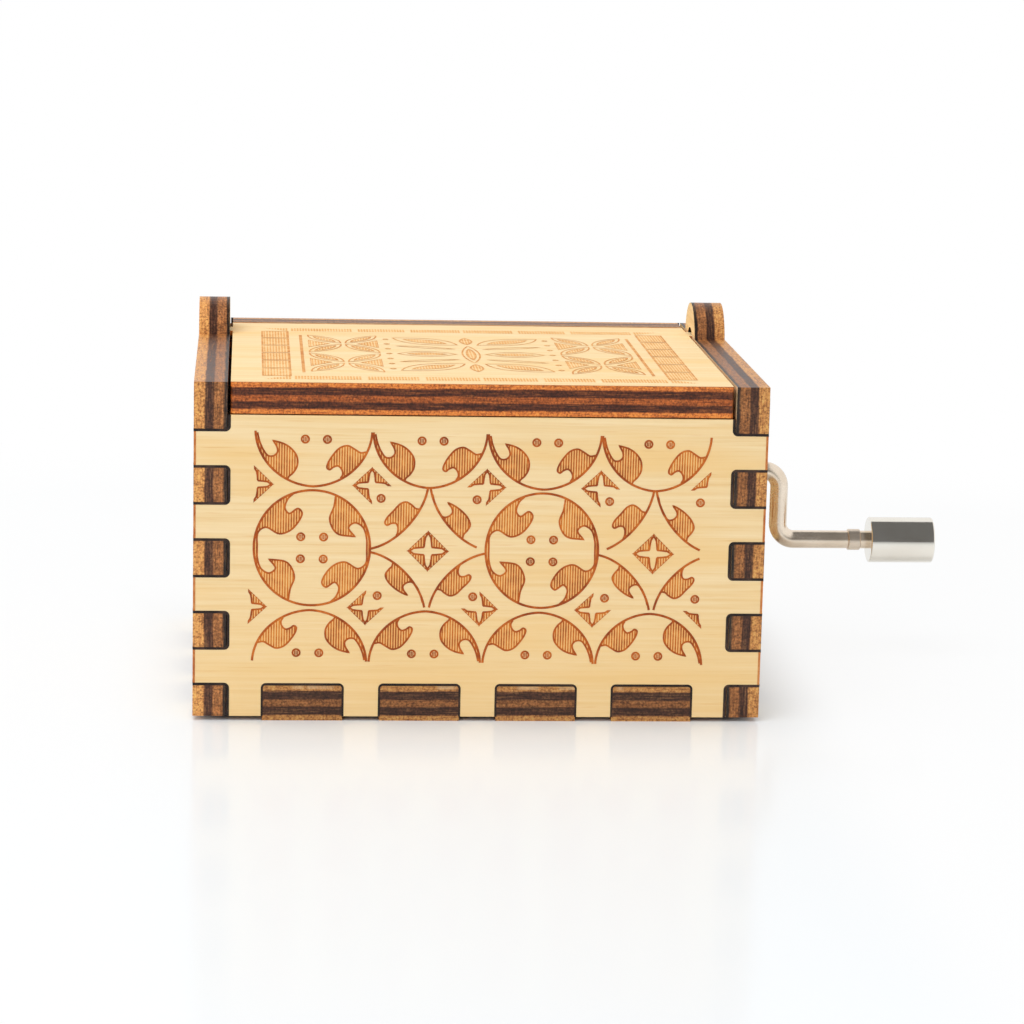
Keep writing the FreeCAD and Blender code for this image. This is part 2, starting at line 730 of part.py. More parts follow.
def pins():
    """Square pins in one ring of places per comb tooth, turned from ring to ring by the golden angle."""
    golden = 180 * (3 - math.sqrt(5))
    axis = Vector(cylinder_side.number, 0, axis_height.number)
    first = (drum_middle - teeth_half + tooth_pitch / 2).number
    solids = []
    for track in range(SIZES["comb_teeth"]):
        y = first + track * tooth_pitch.number
        for step in range(SIZES["pins_per_track"]):
            angle = golden * track + 360 * step / SIZES["pins_per_track"]
            outwards = Rotation(Vector(0, 1, 0), angle).multVec(Vector(0, 0, 1))
            corner = Vector(0, SIZES["pin_radius"], 0)
            foot = [axis + Vector(0, y, 0) + outwards * SIZES["drum_radius"]
                    + Rotation(outwards, 360 * side / PIN_SIDES).multVec(corner) for side in range(PIN_SIDES)]
            face = Part.Face(Part.makePolygon(foot + foot[:1]))
            solids.append(face.extrude(outwards * SIZES["pin_rise"]))
    item = doc.addObject("Part::Feature", "cylinder_pins")
    item.Shape = Part.makeCompound(solids)
    return item


# ---------------------------------------------------------------- crank
def worm():
    """Single-start worm on the crank shaft; its even turns start on top and leave a gap for the gear's tooth below."""
    body = new_body("worm")
    start = cylinder_side - S.worm_length / 2
    core = S.worm_pitch_radius - S.tooth_root
    face = circle(new_sketch(body, "YZ", start), shaft_back, shaft_height, core)
    pad(body, face, S.worm_length)

    thread_start = cylinder_side - S.worm_turns * worm_lead / 2
    thread = new_sketch(body, "XZ", -shaft_back, (thread_start, shaft_height))
    tip_half = S.worm_thread / 2 - S.tooth_rise * S.flank_slope
    root_half = S.worm_thread / 2 + S.tooth_root * S.flank_slope
    sunk = core - S.tooth_sink
    tip = S.worm_pitch_radius + S.tooth_rise
    polygon(thread, [(-root_half, sunk), (-root_half, core), (-tip_half, tip),
                     (tip_half, tip), (root_half, core), (root_half, sunk)])
    helix = body.newObject("PartDesign::AdditiveHelix", "worm_thread")
    helix.Profile = thread
    helix.ReferenceAxis = (thread, ["H_Axis"])
    helix.Mode = "pitch-turns-angle"
    bind(helix, Pitch=worm_lead, Turns=S.worm_turns)
    body.Tip = helix
    bore = new_sketch(body, "YZ", cylinder_side)
    pocket(body, circle(bore, shaft_back, shaft_height, S.rod_radius))
    return body


def quarter_bend(name, x, z, turned):
    """A quarter of a ring of rod round a centre in the crank's plane, from the arm to the end that runs along X."""
    bend = doc.addObject("Part::Torus", name)
    bend.Angle3 = 90
    bind(bend, Radius1=S.bend_radius, Radius2=S.rod_radius)
    return place(bend, x, shaft_back, z, turned)


def crank_rod():
    """Bent wire: shaft, arm and handle pin, with a flared end inside the knob."""
    bend = S.bend_radius
    upright = Rotation(Vector(1, 0, 0), 90)
    half_turn = Rotation(Vector(0, 1, 0), 180)
    pin_start = crank_out + bend
    return fuse("crank_rod", [
        round_bar("rod_shaft", S.rod_radius, crank_out - bend - shaft_start,
                  (shaft_start, shaft_back, shaft_height), ALONG_X),
        quarter_bend("rod_upper_bend", crank_out - bend, shaft_height - bend, upright),
        round_bar("rod_arm", S.rod_radius, S.crank_throw - 2 * bend, (crank_out, shaft_back, knob_height + bend)),
        quarter_bend("rod_lower_bend", crank_out + bend, knob_height + bend, half_turn * upright),
        round_bar("rod_pin", S.rod_radius, rod_end - pin_start, (pin_start, shaft_back, knob_height), ALONG_X),
        round_bar("rod_swage", S.rod_radius + S.swage_rise, S.swage_length,
                  (rod_end - S.swage_length, shaft_back, knob_height), ALONG_X),
    ])


def collar():
    start = (collar_start, shaft_back, knob_height)
    outer = round_bar("collar_outer", S.rod_radius + S.collar_wall, S.collar_length, start, ALONG_X)
    inner_start = (collar_start - OVERCUT, shaft_back, knob_height)
    inner = round_bar("collar_inner", S.rod_radius, S.collar_length + 2 * OVERCUT, inner_start, ALONG_X)
    return cut("crank_collar", outer, inner)


def knob():
    """Turned knob that spins on the handle pin, with an undercut for the pin's flared end."""
    body = new_body("crank_knob")
    profile = new_sketch(body, "XZ", -shaft_back, (0, knob_height))
    bore = S.rod_radius + S.run_clear
    undercut = S.rod_radius + S.swage_rise + S.end_play
    undercut_start = rod_end - S.swage_length - S.end_play
    undercut_end = rod_end + S.end_play
    polygon(profile, [(knob_start, bore), (knob_start, S.knob_neck),
                      (knob_start + S.knob_shoulder, S.knob_radius),
                      (knob_end - S.knob_edge, S.knob_radius), (knob_end, S.knob_radius - S.knob_edge),
                      (knob_end, 0), (undercut_end, 0), (undercut_end, undercut),
                      (undercut_start, undercut), (undercut_start, bore)])
    turned = body.newObject("PartDesign::Revolution", "crank_knob_turned")
    turned.Profile = profile
    turned.ReferenceAxis = (profile, ["H_Axis"])
    turned.Angle = 360
    return body


# ---------------------------------------------------------------- build, check, write
sub_parts = [
    end_panel("front_panel", -1, front_top),
    end_panel("rear_panel", 1, S.case_height),
    side_panel("left_panel", -1),
    right_panel(),
    bottom_panel(),
    lid(),
    bedplate(),
    front_bearing(),
    shaft_bracket(),
    comb(),
    comb_weights(),
    screw_set("comb_screws", comb_screws, comb_under + S.comb_thick, S.comb_thick + S.comb_screw_depth),
    bracket_screws(),
    base_screws(),
    drum(),
    end_caps(),
    arbor(),
    gear(),
    pins(),
    worm(),
    crank_rod(),
    collar(),
    knob(),
]
doc.recompute()

for item in doc.Objects:
    if {"Invalid", "Error"} & set(item.State):
        raise RuntimeError("%s did not build: %s" % (item.Name, item.State))

os.makedirs("parts", exist_ok=True)
for part in sub_parts:
    if part.Shape.isNull() or not part.Shape.isValid():
        raise RuntimeError("%s has no valid shape" % part.Label)
for part in sub_parts:
    part.Shape.exportStep("parts/%s.step" % part.Label)
    solids = len(part.Shape.Solids)
    print("%-18s %3d solid(s) %9.2f mm3" % (part.Label, solids, part.Shape.Volume))
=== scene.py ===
"""Looks of the hand-crank music box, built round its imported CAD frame.

Metres throughout, X towards the crank, Y towards the hinge and Z up. The case is laser-cut plywood with charred
edges and engraved faces, the crank is plated wire with a turned knob, and the movement inside is cast, sheet
and turned metal.
"""

import json
import math

import bpy
import numpy as np
from mathutils import Matrix, Vector


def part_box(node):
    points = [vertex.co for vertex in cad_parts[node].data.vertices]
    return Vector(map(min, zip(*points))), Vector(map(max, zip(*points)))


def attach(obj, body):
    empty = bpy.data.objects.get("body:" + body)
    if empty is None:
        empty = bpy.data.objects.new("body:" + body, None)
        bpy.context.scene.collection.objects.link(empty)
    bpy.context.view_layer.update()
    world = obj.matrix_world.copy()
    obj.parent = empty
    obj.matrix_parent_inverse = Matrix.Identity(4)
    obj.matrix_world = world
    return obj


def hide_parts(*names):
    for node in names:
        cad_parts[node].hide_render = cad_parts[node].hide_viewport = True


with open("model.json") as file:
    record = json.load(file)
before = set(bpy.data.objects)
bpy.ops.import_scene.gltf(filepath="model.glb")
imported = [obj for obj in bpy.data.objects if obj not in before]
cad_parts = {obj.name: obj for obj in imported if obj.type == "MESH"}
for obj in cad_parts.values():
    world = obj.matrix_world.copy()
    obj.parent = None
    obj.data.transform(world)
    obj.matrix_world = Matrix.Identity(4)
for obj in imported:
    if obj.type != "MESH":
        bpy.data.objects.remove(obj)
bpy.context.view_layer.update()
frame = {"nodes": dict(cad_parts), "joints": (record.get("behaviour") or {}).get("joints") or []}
nodes = frame["nodes"]

MM = 0.001
X, Y, Z = 0, 1, 2


# ---------------- colour and node helpers
def tint(red, green, blue):
    """A display colour of 0 to 255 as linear red, green, blue and alpha."""
    display = np.array([red, green, blue]) / 255
    linear = np.where(display <= 0.04045, display / 12.92, ((display + 0.055) / 1.055) ** 2.4)
    return (*linear.tolist(), 1.0)


BLACK, WHITE = (0, 0, 0, 1), (1, 1, 1, 1)


def grey(level):
    return (level, level, level, 1)


class Graph:
    """Nodes of a material or world: each call adds one shader node and returns one of its outputs."""

    def __init__(self, owner):
        owner.use_nodes = True
        self.owner, self.tree = owner, owner.node_tree
        self.tree.nodes.clear()

    def add(self, kind, inputs=None, output=0, **settings):
        node = self.tree.nodes.new("ShaderNode" + kind)
        for name, value in settings.items():
            setattr(node, name, value)
        for socket, value in (inputs or {}).items():
            if isinstance(value, bpy.types.NodeSocket):
                self.tree.links.new(value, node.inputs[socket])
            else:
                node.inputs[socket].default_value = value
        return node.outputs[output] if len(node.outputs) else node

    def maths(self, operation, first, second=0.0, third=0.0):
        return self.add("Math", {0: first, 1: second, 2: third}, operation=operation)

    def place(self):
        return self.add("TexCoord", output="Object")

    def part(self, vector, axis):
        return self.add("SeparateXYZ", {0: vector}, output=axis)

    def noise(self, vector, stretch, detail=3.0, roughness=0.55, distortion=0.0):
        """Noise of about one grain per metre times the stretch along each axis."""
        scaled = self.add("Mapping", {"Vector": vector, "Scale": stretch})
        return self.add("TexNoise", {"Vector": scaled, "Scale": 1.0, "Detail": detail, "Roughness": roughness,
                                     "Distortion": distortion})

    def ramp(self, factor, stops):
        output = self.add("ValToRGB", {"Fac": factor})
        band = output.node.color_ramp
        while len(band.elements) < len(stops):
            band.elements.new(0.5)
        for element, (position, colour) in zip(band.elements, stops):
            element.position = position
            element.color = colour
        return output

    def between(self, value, low, high, start=0.0, end=1.0):
        """The start below low, the end above high and a smooth change from one to the other."""
        return self.add("MapRange", {0: value, 1: low, 2: high, 3: start, 4: end},
                        interpolation_type="SMOOTHSTEP")

    def mix(self, factor, first, second, blend="MIX"):
        return self.add("Mix", {0: factor, 6: first, 7: second}, output=2, data_type="RGBA", blend_type=blend)

    def bump(self, height, distance, strength=1.0):
        return self.add("Bump", {"Height": height, "Distance": distance, "Strength": strength})

    def finish(self, colour, roughness, metallic=0.0, normal=None, specular=None):
        """Close the graph with a Principled shader."""
        inputs = {"Base Color": colour, "Roughness": roughness, "Metallic": metallic}
        if normal is not None:
            inputs["Normal"] = normal
        if specular is not None:
            inputs["Specular IOR Level"] = specular
        self.add("OutputMaterial", {"Surface": self.add("BsdfPrincipled", inputs)})
        return self.owner


def material_graph(name):
    return Graph(bpy.data.materials.new(name))


def uneven(axis, along, across):
    """Fineness of a noise in grains a metre, along one axis and across it."""
    fineness = [across] * 3
    fineness[axis] = along
    return fineness


def dress(obj, material):
    obj.data.materials.clear()
    obj.data.materials.append(material)


def show(name, mesh, material):
    """The mesh as an object of the scene, in its material."""
    shown = bpy.data.objects.new(name, mesh)
    bpy.context.scene.collection.objects.link(shown)
    dress(shown, material)
    return shown


# ---------------- plywood
FACE_WOOD = tint(247, 217, 164)
FACE_LIGHT = tint(252, 226, 180)
FACE_SHADE = tint(240, 205, 147)
FACE_WARM = tint(246, 204, 134)
FACE_STREAK = tint(226, 172, 104)
PLY_GLOW = tint(206, 150, 92)
CHIP = tint(224, 188, 142)
CHIP_DEPTH = 0.10               # share of the thickness

# Fineness of the textures, in grains a metre along and across the grain of a face.
GRAIN, PATCHES, HAIRS = (50.0, 2000.0), (26.0, 190.0), (120.0, 3200.0)
# The same on the edges, along and across the sheet's thickness.
STREAKS, STROKES, WAVES, PITS = (6000.0, 300.0), (500.0, 2300.0), (0.0, 330.0), (4600.0, 4600.0)
WAVE_DEPTH = 0.07               # how far the plies waver, as a share of the thickness
WARM_FROM, WARM_BELOW = 20 * MM, 3 * MM         # the faces grow warmer between these heights

# What the laser leaves of a face veneer, a core ply, a cross ply and the glue in a joint.
TOASTED = tint(230, 156, 86)
BROWNED = tint(166, 106, 58)
CHARRED = tint(84, 50, 34)
BLACKENED = tint(44, 32, 26)
AMBER = (1.0, 0.64, 0.40, 1.0)  # glow of a lightly burnt edge
PLY_BLEND = 0.05                # share of the thickness in which one ply's colour runs into the next

# Plies from the outer face inwards, as (share of the thickness, colour).
WALL_PLIES = ((0.33, TOASTED), (0.27, CHARRED), (0.30, BROWNED), (0.10, BLACKENED))
FIVE_PLIES = ((0.15, TOASTED), (0.25, CHARRED), (0.20, BROWNED), (0.25, CHARRED), (0.15, TOASTED))


def ply_stops(plies):
    """Stops of a colour ramp: each ply keeps its colour, apart from a short blend into the next."""
    stops, depth = [], 0.0
    for share, colour in plies:
        stops += [(depth + PLY_BLEND / 2, colour), (depth + share - PLY_BLEND / 2, colour)]
        depth += share
    return stops


def plywood(name, axis, outer, thickness, plies, grain_axis, chips=0.0, cross_cut=0.3, burn=WHITE):
    """Sheet with pale faces and charred ply edges.

    The face shows where the surface looks along the sheet's thickness axis. On the edges the colour follows the
    depth below the outer face, streaked along the plies, as a laser leaves it, and chipped pale in places. The
    cross cut is the strength of the strokes across the plies, and the burn is a colour that tones the edge.
    """
    g = material_graph(name)
    place = g.place()
    facing = g.maths("ABSOLUTE", g.part(g.add("TexCoord", output="Normal"), axis))
    on_face = g.maths("GREATER_THAN", facing, 0.5)

    grain = g.noise(place, uneven(grain_axis, *GRAIN), detail=4.0, roughness=0.62)
    patches = g.noise(place, uneven(grain_axis, *PATCHES), detail=2.0, distortion=0.3)
    hairs = g.noise(place, uneven(grain_axis, *HAIRS), detail=2.0, roughness=0.7)
    face = g.ramp(grain, [(0.30, FACE_SHADE), (0.50, FACE_WOOD), (0.72, FACE_LIGHT)])
    face = g.mix(g.ramp(patches, [(0.50, BLACK), (0.70, grey(0.7))]), face, FACE_WARM)
    face = g.mix(g.ramp(hairs, [(0.64, BLACK), (0.76, grey(0.4))]), face, FACE_STREAK)

    low_down = g.between(g.part(place, Z), WARM_FROM, WARM_BELOW)
    face = g.mix(g.maths("MULTIPLY", low_down, 0.4), face, FACE_WARM)

    depth = g.maths("DIVIDE", g.maths("ABSOLUTE", g.maths("SUBTRACT", g.part(place, axis), outer)), thickness)
    streaks = g.noise(place, uneven(axis, *STREAKS), detail=4.0, roughness=0.7)
    strokes = g.noise(place, uneven(axis, *STROKES), detail=3.0, roughness=0.6)
    wave = g.noise(place, uneven(axis, *WAVES), detail=2.0)
    pits = g.noise(place, uneven(axis, *PITS), detail=2.0, roughness=0.6)
    wavy = g.maths("MULTIPLY_ADD", g.maths("SUBTRACT", wave, 0.5), WAVE_DEPTH, depth)
    edge = g.ramp(wavy, ply_stops(plies))
    edge = g.mix(g.ramp(streaks, [(0.52, BLACK), (0.66, grey(0.55))]), edge, g.mix(0.5, edge, PLY_GLOW))
    edge = g.mix(0.8, edge, g.ramp(streaks, [(0.34, tint(150, 138, 132)), (0.50, WHITE)]), "MULTIPLY")
    edge = g.mix(cross_cut, edge, g.ramp(strokes, [(0.40, tint(168, 158, 152)), (0.58, WHITE)]), "MULTIPLY")
    edge = g.mix(g.ramp(pits, [(0.48, BLACK), (0.64, grey(0.62))]), edge, WHITE, "OVERLAY")
    edge = g.mix(0.6, edge, g.ramp(pits, [(0.34, tint(120, 108, 102)), (0.46, WHITE)]), "MULTIPLY")
    edge = g.mix(1.0, edge, burn, "MULTIPLY")
    if chips:
        chipped = g.maths("MULTIPLY", g.maths("LESS_THAN", wavy, CHIP_DEPTH), g.between(wave, 0.54, 0.64))
        edge = g.mix(g.maths("MULTIPLY", chipped, chips), edge, CHIP)

    colour = g.mix(on_face, edge, face)
    roughness = g.maths("MULTIPLY_ADD", on_face, 0.25, g.maths("MULTIPLY_ADD", streaks, 0.3, 0.26))
    relief = g.maths("ADD", g.maths("MULTIPLY", grain, 0.35),
                     g.maths("MULTIPLY", g.maths("ADD", streaks, strokes), g.maths("SUBTRACT", 1.0, on_face)))
    return g.finish(colour, roughness, normal=g.bump(relief, 0.06 * MM, 0.5), specular=0.42)


def panel_wood(node, axis, outer_is_low, plies, grain_axis, **edge):
    low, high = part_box(node)
    outer = low[axis] if outer_is_low else high[axis]
    wood = plywood(node + "_plywood", axis, outer, high[axis] - low[axis], plies, grain_axis, **edge)
    dress(nodes[node], wood)
    return wood


wall_wood = {"front": panel_wood("front_panel", Y, True, WALL_PLIES, X, burn=grey(0.8)),
             "rear": panel_wood("rear_panel", Y, False, WALL_PLIES, X, burn=grey(0.8)),
             "left": panel_wood("left_panel", X, True, WALL_PLIES, Y),
             "right": panel_wood("right_panel", X, False, WALL_PLIES, Y, burn=grey(0.84))}
panel_wood("bottom_panel", Z, False, FIVE_PLIES, X, chips=0.5, burn=grey(0.7))
panel_wood("lid", Z, False, FIVE_PLIES, X, cross_cut=0.2, burn=AMBER)


# ---------------- burnt marks on the flat faces
WASH_LEVEL, HATCH_LEVEL, LINE_LEVEL, KERF_LEVEL = 0.003 * MM, 0.010 * MM, 0.017 * MM, 0.026 * MM
LEVEL_STEP = 0.0001 * MM        # each mark lies this far above the one before, so that no two coincide
LEVELS = 61                     # after this many marks the heights start again


class Face:
    """A flat face of the box: maps (across, up) in the face to a place at a small height above it."""

    def __init__(self, across, up, outwards, level):
        self.across, self.up, self.outwards = (np.array(v, float) for v in (across, up, outwards))
        self.level = level

    def place(self, flat, height):
        return (flat[..., :1] * self.across + flat[..., 1:] * self.up
                + self.outwards * (self.level + height)[..., None])


def flat_piece(name, face, groups, height, body, material, keep=None):
    """One mesh of separate quads from groups of (count, 4, 2) face coordinates, all turned anticlockwise."""
    quads = np.concatenate(groups)
    step = np.repeat(np.arange(len(groups)) % LEVELS, [len(group) for group in groups]) * LEVEL_STEP
    if keep is not None:
        kept = keep(quads)
        quads, step = quads[kept], step[kept]
    edges = quads[:, 1:3] - quads[:, :1]
    clockwise = edges[:, 0, 0] * edges[:, 1, 1] - edges[:, 0, 1] * edges[:, 1, 0] < 0
    quads = np.where(clockwise[:, None, None], quads[:, ::-1], quads)
    corners = face.place(quads, np.broadcast_to((height + step)[:, None], quads.shape[:2])).reshape(-1, 3)
    mesh = bpy.data.meshes.new(name)
    count = len(quads)
    mesh.vertices.add(4 * count)
    mesh.vertices.foreach_set("co", corners.astype(np.float32).ravel())
    mesh.loops.add(4 * count)
    mesh.loops.foreach_set("vertex_index", np.arange(4 * count, dtype=np.int32))
    mesh.polygons.add(count)
    mesh.polygons.foreach_set("loop_start", np.arange(0, 4 * count, 4, dtype=np.int32))
    mesh.update(calc_edges=True)
    piece = show(name, mesh, material)
    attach(piece, body)
    return piece


def ribbon(points, width, closed=False):
    """Quads of a line of even width: each corner point is pushed out along the mitre of its two stretches."""
    points = np.asarray(points, float)
    if closed:
        points = np.vstack([points, points[:1]])
    steps = np.diff(points, axis=0)
    steps /= np.linalg.norm(steps, axis=1, keepdims=True)
    left = np.column_stack([-steps[:, 1], steps[:, 0]])
    before = np.vstack([left[-1:] if closed else left[:1], left])
    after = np.vstack([left, left[:1] if closed else left[-1:]])
    mitre = (before + after) / np.maximum(1 + (before * after).sum(1, keepdims=True), 0.5)
    inner, outer = points + mitre * width / 2, points - mitre * width / 2
    return np.stack([outer[:-1], outer[1:], inner[1:], inner[:-1]], axis=1)


def hatching(outline, pitch, width):
    """Upright strokes at an even pitch inside a closed outline, by the even-odd rule."""
    first = np.asarray(outline, float)
    second = np.roll(first, -1, axis=0)
    strokes = []
    first_stroke, last_stroke = math.ceil(first[:, 0].min() / pitch), math.floor(first[:, 0].max() / pitch)
    for x in pitch * np.arange(first_stroke, last_stroke + 1):
        crosses = (first[:, 0] <= x) != (second[:, 0] <= x)
        a, b = first[crosses], second[crosses]
        heights = np.sort(a[:, 1] + (x - a[:, 0]) / (b[:, 0] - a[:, 0]) * (b[:, 1] - a[:, 1]))
        left, right = x - width / 2, x + width / 2
        for low, high in zip(heights[::2], heights[1::2]):
            strokes.append([(left, low), (right, low), (right, high), (left, high)])
    return np.array(strokes).reshape(-1, 4, 2)


def smooth(points, pieces=7):
    """A curve through the points: cubic stretches whose slopes come from the neighbouring points."""
    points = np.asarray(points, float)
    time = np.concatenate([[0], np.cumsum(np.linalg.norm(np.diff(points, axis=0), axis=1) ** 0.5)])
    slope = np.gradient(points, time, axis=0)
    share = np.linspace(0, 1, pieces, endpoint=False)[None, :, None]
    span = np.diff(time)[:, None, None]
    start, end = points[:-1, None], points[1:, None]
    leave, arrive = slope[:-1, None] * span, slope[1:, None] * span
    curve = ((1 + 2 * share) * (1 - share) ** 2 * start + share * (1 - share) ** 2 * leave
             + share ** 2 * (3 - 2 * share) * end + share ** 2 * (share - 1) * arrive)
    return np.vstack([curve.reshape(-1, 2), points[-1:]])


class Marks:
    """Burnt outlines and hatching of one face, collected before they become three pieces."""

    def __init__(self, line_width, stroke_pitch, stroke_width):
        self.line_width, self.stroke_pitch, self.stroke_width = line_width, stroke_pitch, stroke_width
        self.lines, self.strokes, self.washes = [], [], []

    def line(self, points, width=None, closed=False):
        self.lines.append(ribbon(points, width or self.line_width, closed))

    def fill(self, outline):
        self.strokes.append(hatching(outline, self.stroke_pitch, self.stroke_width))
        self.washes.append(hatching(outline, self.stroke_pitch, self.stroke_pitch))

    def turn(self, centre, angle):
        """Turn all marks clockwise about a place by an angle in radians."""
        turn = np.array([[math.cos(angle), -math.sin(angle)], [math.sin(angle), math.cos(angle)]])
        for groups in (self.lines, self.strokes, self.washes):
            groups[:] = [centre + (quads - centre) @ turn for quads in groups]

    def shape(self, outline):
        self.line(outline, closed=True)
        self.fill(outline)

    def burn(self, name, face, body, finishes, keep=None):
        """Three pieces, for the lines, the strokes and the pale scorch between the strokes."""
        parts = (("_lines", self.lines, LINE_LEVEL), ("_hatching", self.strokes, HATCH_LEVEL),
                 ("_scorch", self.washes, WASH_LEVEL))
        for (part, groups, level), finish in zip(parts, finishes):
            flat_piece(name + part, face, groups, level, body, finish, keep)


BLOTCHES, SCORCH_PATCHES = (900.0,) * 3, (140.0,) * 3       # fineness in grains a metre


def burn_finish(name, dark, middle, pale):
    """Burnt wood, brown where the beam dwelt and orange where it passed."""
    g = material_graph(name)
    place = g.place()
    blotch = g.noise(place, BLOTCHES, detail=3.0, roughness=0.6)
    patch = g.noise(place, SCORCH_PATCHES, detail=1.0)
    tone = g.maths("MULTIPLY_ADD", blotch, 0.7, g.maths("MULTIPLY", patch, 0.3))
    colour = g.ramp(tone, [(0.38, dark), (0.50, middle), (0.62, pale)])
    return g.finish(colour, 0.75, normal=g.bump(blotch, 0.02 * MM, 0.4))


ENGRAVED = (burn_finish("engraved_line", tint(148, 62, 10), tint(182, 84, 18), tint(206, 110, 34)),
            burn_finish("engraved_hatch", tint(170, 80, 18), tint(202, 104, 28), tint(222, 132, 46)),
            burn_finish("engraved_scorch", tint(236, 180, 108), tint(241, 190, 118), tint(244, 198, 128)))
LIGHT = (burn_finish("light_line", tint(208, 134, 66), tint(224, 156, 86), tint(236, 178, 110)),
         burn_finish("light_hatch", tint(224, 156, 84), tint(236, 174, 102), tint(243, 190, 126)),
         burn_finish("light_scorch", tint(243, 200, 138), tint(246, 206, 146), tint(249, 214, 156)))
kerf_char = burn_finish("kerf_char", tint(30, 21, 18), tint(44, 31, 26), tint(70, 50, 40))
edge_scorch = burn_finish("edge_scorch", tint(176, 92, 38), tint(198, 118, 58), tint(216, 146, 84))
glue_char = burn_finish("glue_char", tint(96, 66, 44), tint(128, 92, 62), tint(150, 112, 78))


# ---------------- tracery of the walls
TRACERY_LINE = 0.20 * MM
ARC_LINE = 0.26 * MM
TRACERY_PITCH, TRACERY_STROKE = 0.29 * MM, 0.155 * MM       # of the hatching
DOT = 0.41 * MM
DOT_CORE = np.array([0.8, 0.6]) * DOT                       # half width and half height of a dot's hatching
DOT_PITCH, DOT_STROKE = 0.17 * MM, 0.115 * MM
DOT_CORNERS = 18
STAR = np.array([2.1, 2.02]) * MM
BIG_STAR = np.array([2.27, 2.25]) * MM
BIG_STAR_DROP = 0.2 * MM        # how far a big star sits below the middle of its spandrels
LOW_STAR_SHARE = 0.95           # size of the lower row's small stars beside the upper row's
CIRCLE = 6.54 * MM
CIRCLE_GAP = 0.06 * MM
CIRCLE_DOT = (1.27 * MM, 1.25 * MM)
MIDDLE_DROP = 0.2 * MM          # how far the circles sit below the middle between the rows of stars
WHOLE_ARC, SHORT_ARC = 90, 81   # reach of an arc in degrees
SQUEEZE = {"full": 0.0, "half": 0.02, "spandrel": 0.10}  # how far an arc's middle lies inside its circle

# Leaf outlines by the arc they grow from, in a circle of radius 1: the thorned leaf's back and front in the
# upper right quarter, and the lobed leaf in the upper left quarter.
LEAVES = {
    "full": ([(0.393, 0.915), (0.365, 0.72), (0.296, 0.50), (0.42, 0.262), (0.735, 0.205)],
             [(0.735, 0.205), (0.622, 0.36), (0.73, 0.447), (0.87, 0.37), (0.937, 0.18), (0.945, 0.0)],
             [(-0.945, 0.0), (-0.93, 0.26), (-0.80, 0.35), (-0.56, 0.238), (-0.34, 0.33), (-0.18, 0.60),
              (-0.25, 0.68), (-0.40, 0.593), (-0.475, 0.68), (-0.43, 0.84), (-0.33, 0.94)]),
    "half": ([(0.435, 0.865), (0.42, 0.83), (0.345, 0.755), (0.28, 0.63), (0.285, 0.46), (0.38, 0.32),
              (0.51, 0.23), (0.695, 0.175)],
             [(0.695, 0.175), (0.625, 0.30), (0.62, 0.385), (0.68, 0.45), (0.775, 0.452), (0.86, 0.345),
              (0.93, 0.18), (0.965, 0.03)],
             [(-0.90, 0.36), (-0.81, 0.375), (-0.70, 0.31), (-0.585, 0.25), (-0.46, 0.285), (-0.345, 0.405),
              (-0.25, 0.57), (-0.235, 0.66), (-0.28, 0.69), (-0.34, 0.645), (-0.42, 0.62), (-0.485, 0.68),
              (-0.505, 0.77), (-0.47, 0.845)]),
    "spandrel": ([(0.41, 0.81), (0.395, 0.75), (0.33, 0.68), (0.28, 0.59), (0.32, 0.48), (0.43, 0.365),
                  (0.565, 0.275), (0.69, 0.22)],
                 [(0.69, 0.22), (0.61, 0.325), (0.605, 0.39), (0.67, 0.45), (0.758, 0.462), (0.837, 0.40),
                  (0.91, 0.27), (0.965, 0.09)],
                 [(-0.875, 0.34), (-0.79, 0.325), (-0.72, 0.27), (-0.62, 0.222), (-0.52, 0.25),
                  (-0.396, 0.37), (-0.273, 0.50), (-0.248, 0.575), (-0.283, 0.607), (-0.367, 0.575),
                  (-0.445, 0.58), (-0.48, 0.635), (-0.478, 0.72), (-0.45, 0.79)]),
}
LOW_STAR_SHIFT = 0.45 * MM      # the lower row's small stars sit this far to the left of the joints
# One quarter of a four-pointed star that leaves a pale cross, in a star of half width 1.
STAR_QUARTER = [(0.0, 1.0), (1.0, 0.0), (0.86, 0.03), (0.70, 0.14), (0.46, 0.17), (0.22, 0.19), (0.19, 0.24),
                (0.17, 0.46), (0.13, 0.70), (0.03, 0.86)]
QUARTERS = [(right, up) for right in (True, False) for up in (True, False)]


def signs(right, up):
    return (1 if right else -1, 1 if up else -1)


def squeezed_arc(start, end, squeeze, steps=24):
    """Points on a circle of radius 1, from start to end in degrees, drawn in by squeeze |sin(2 angle)|."""
    angle = np.radians(np.linspace(start, end, steps + 1))
    radius = 1 - squeeze * np.abs(np.sin(2 * angle))
    return np.column_stack([radius * np.cos(angle), radius * np.sin(angle)])


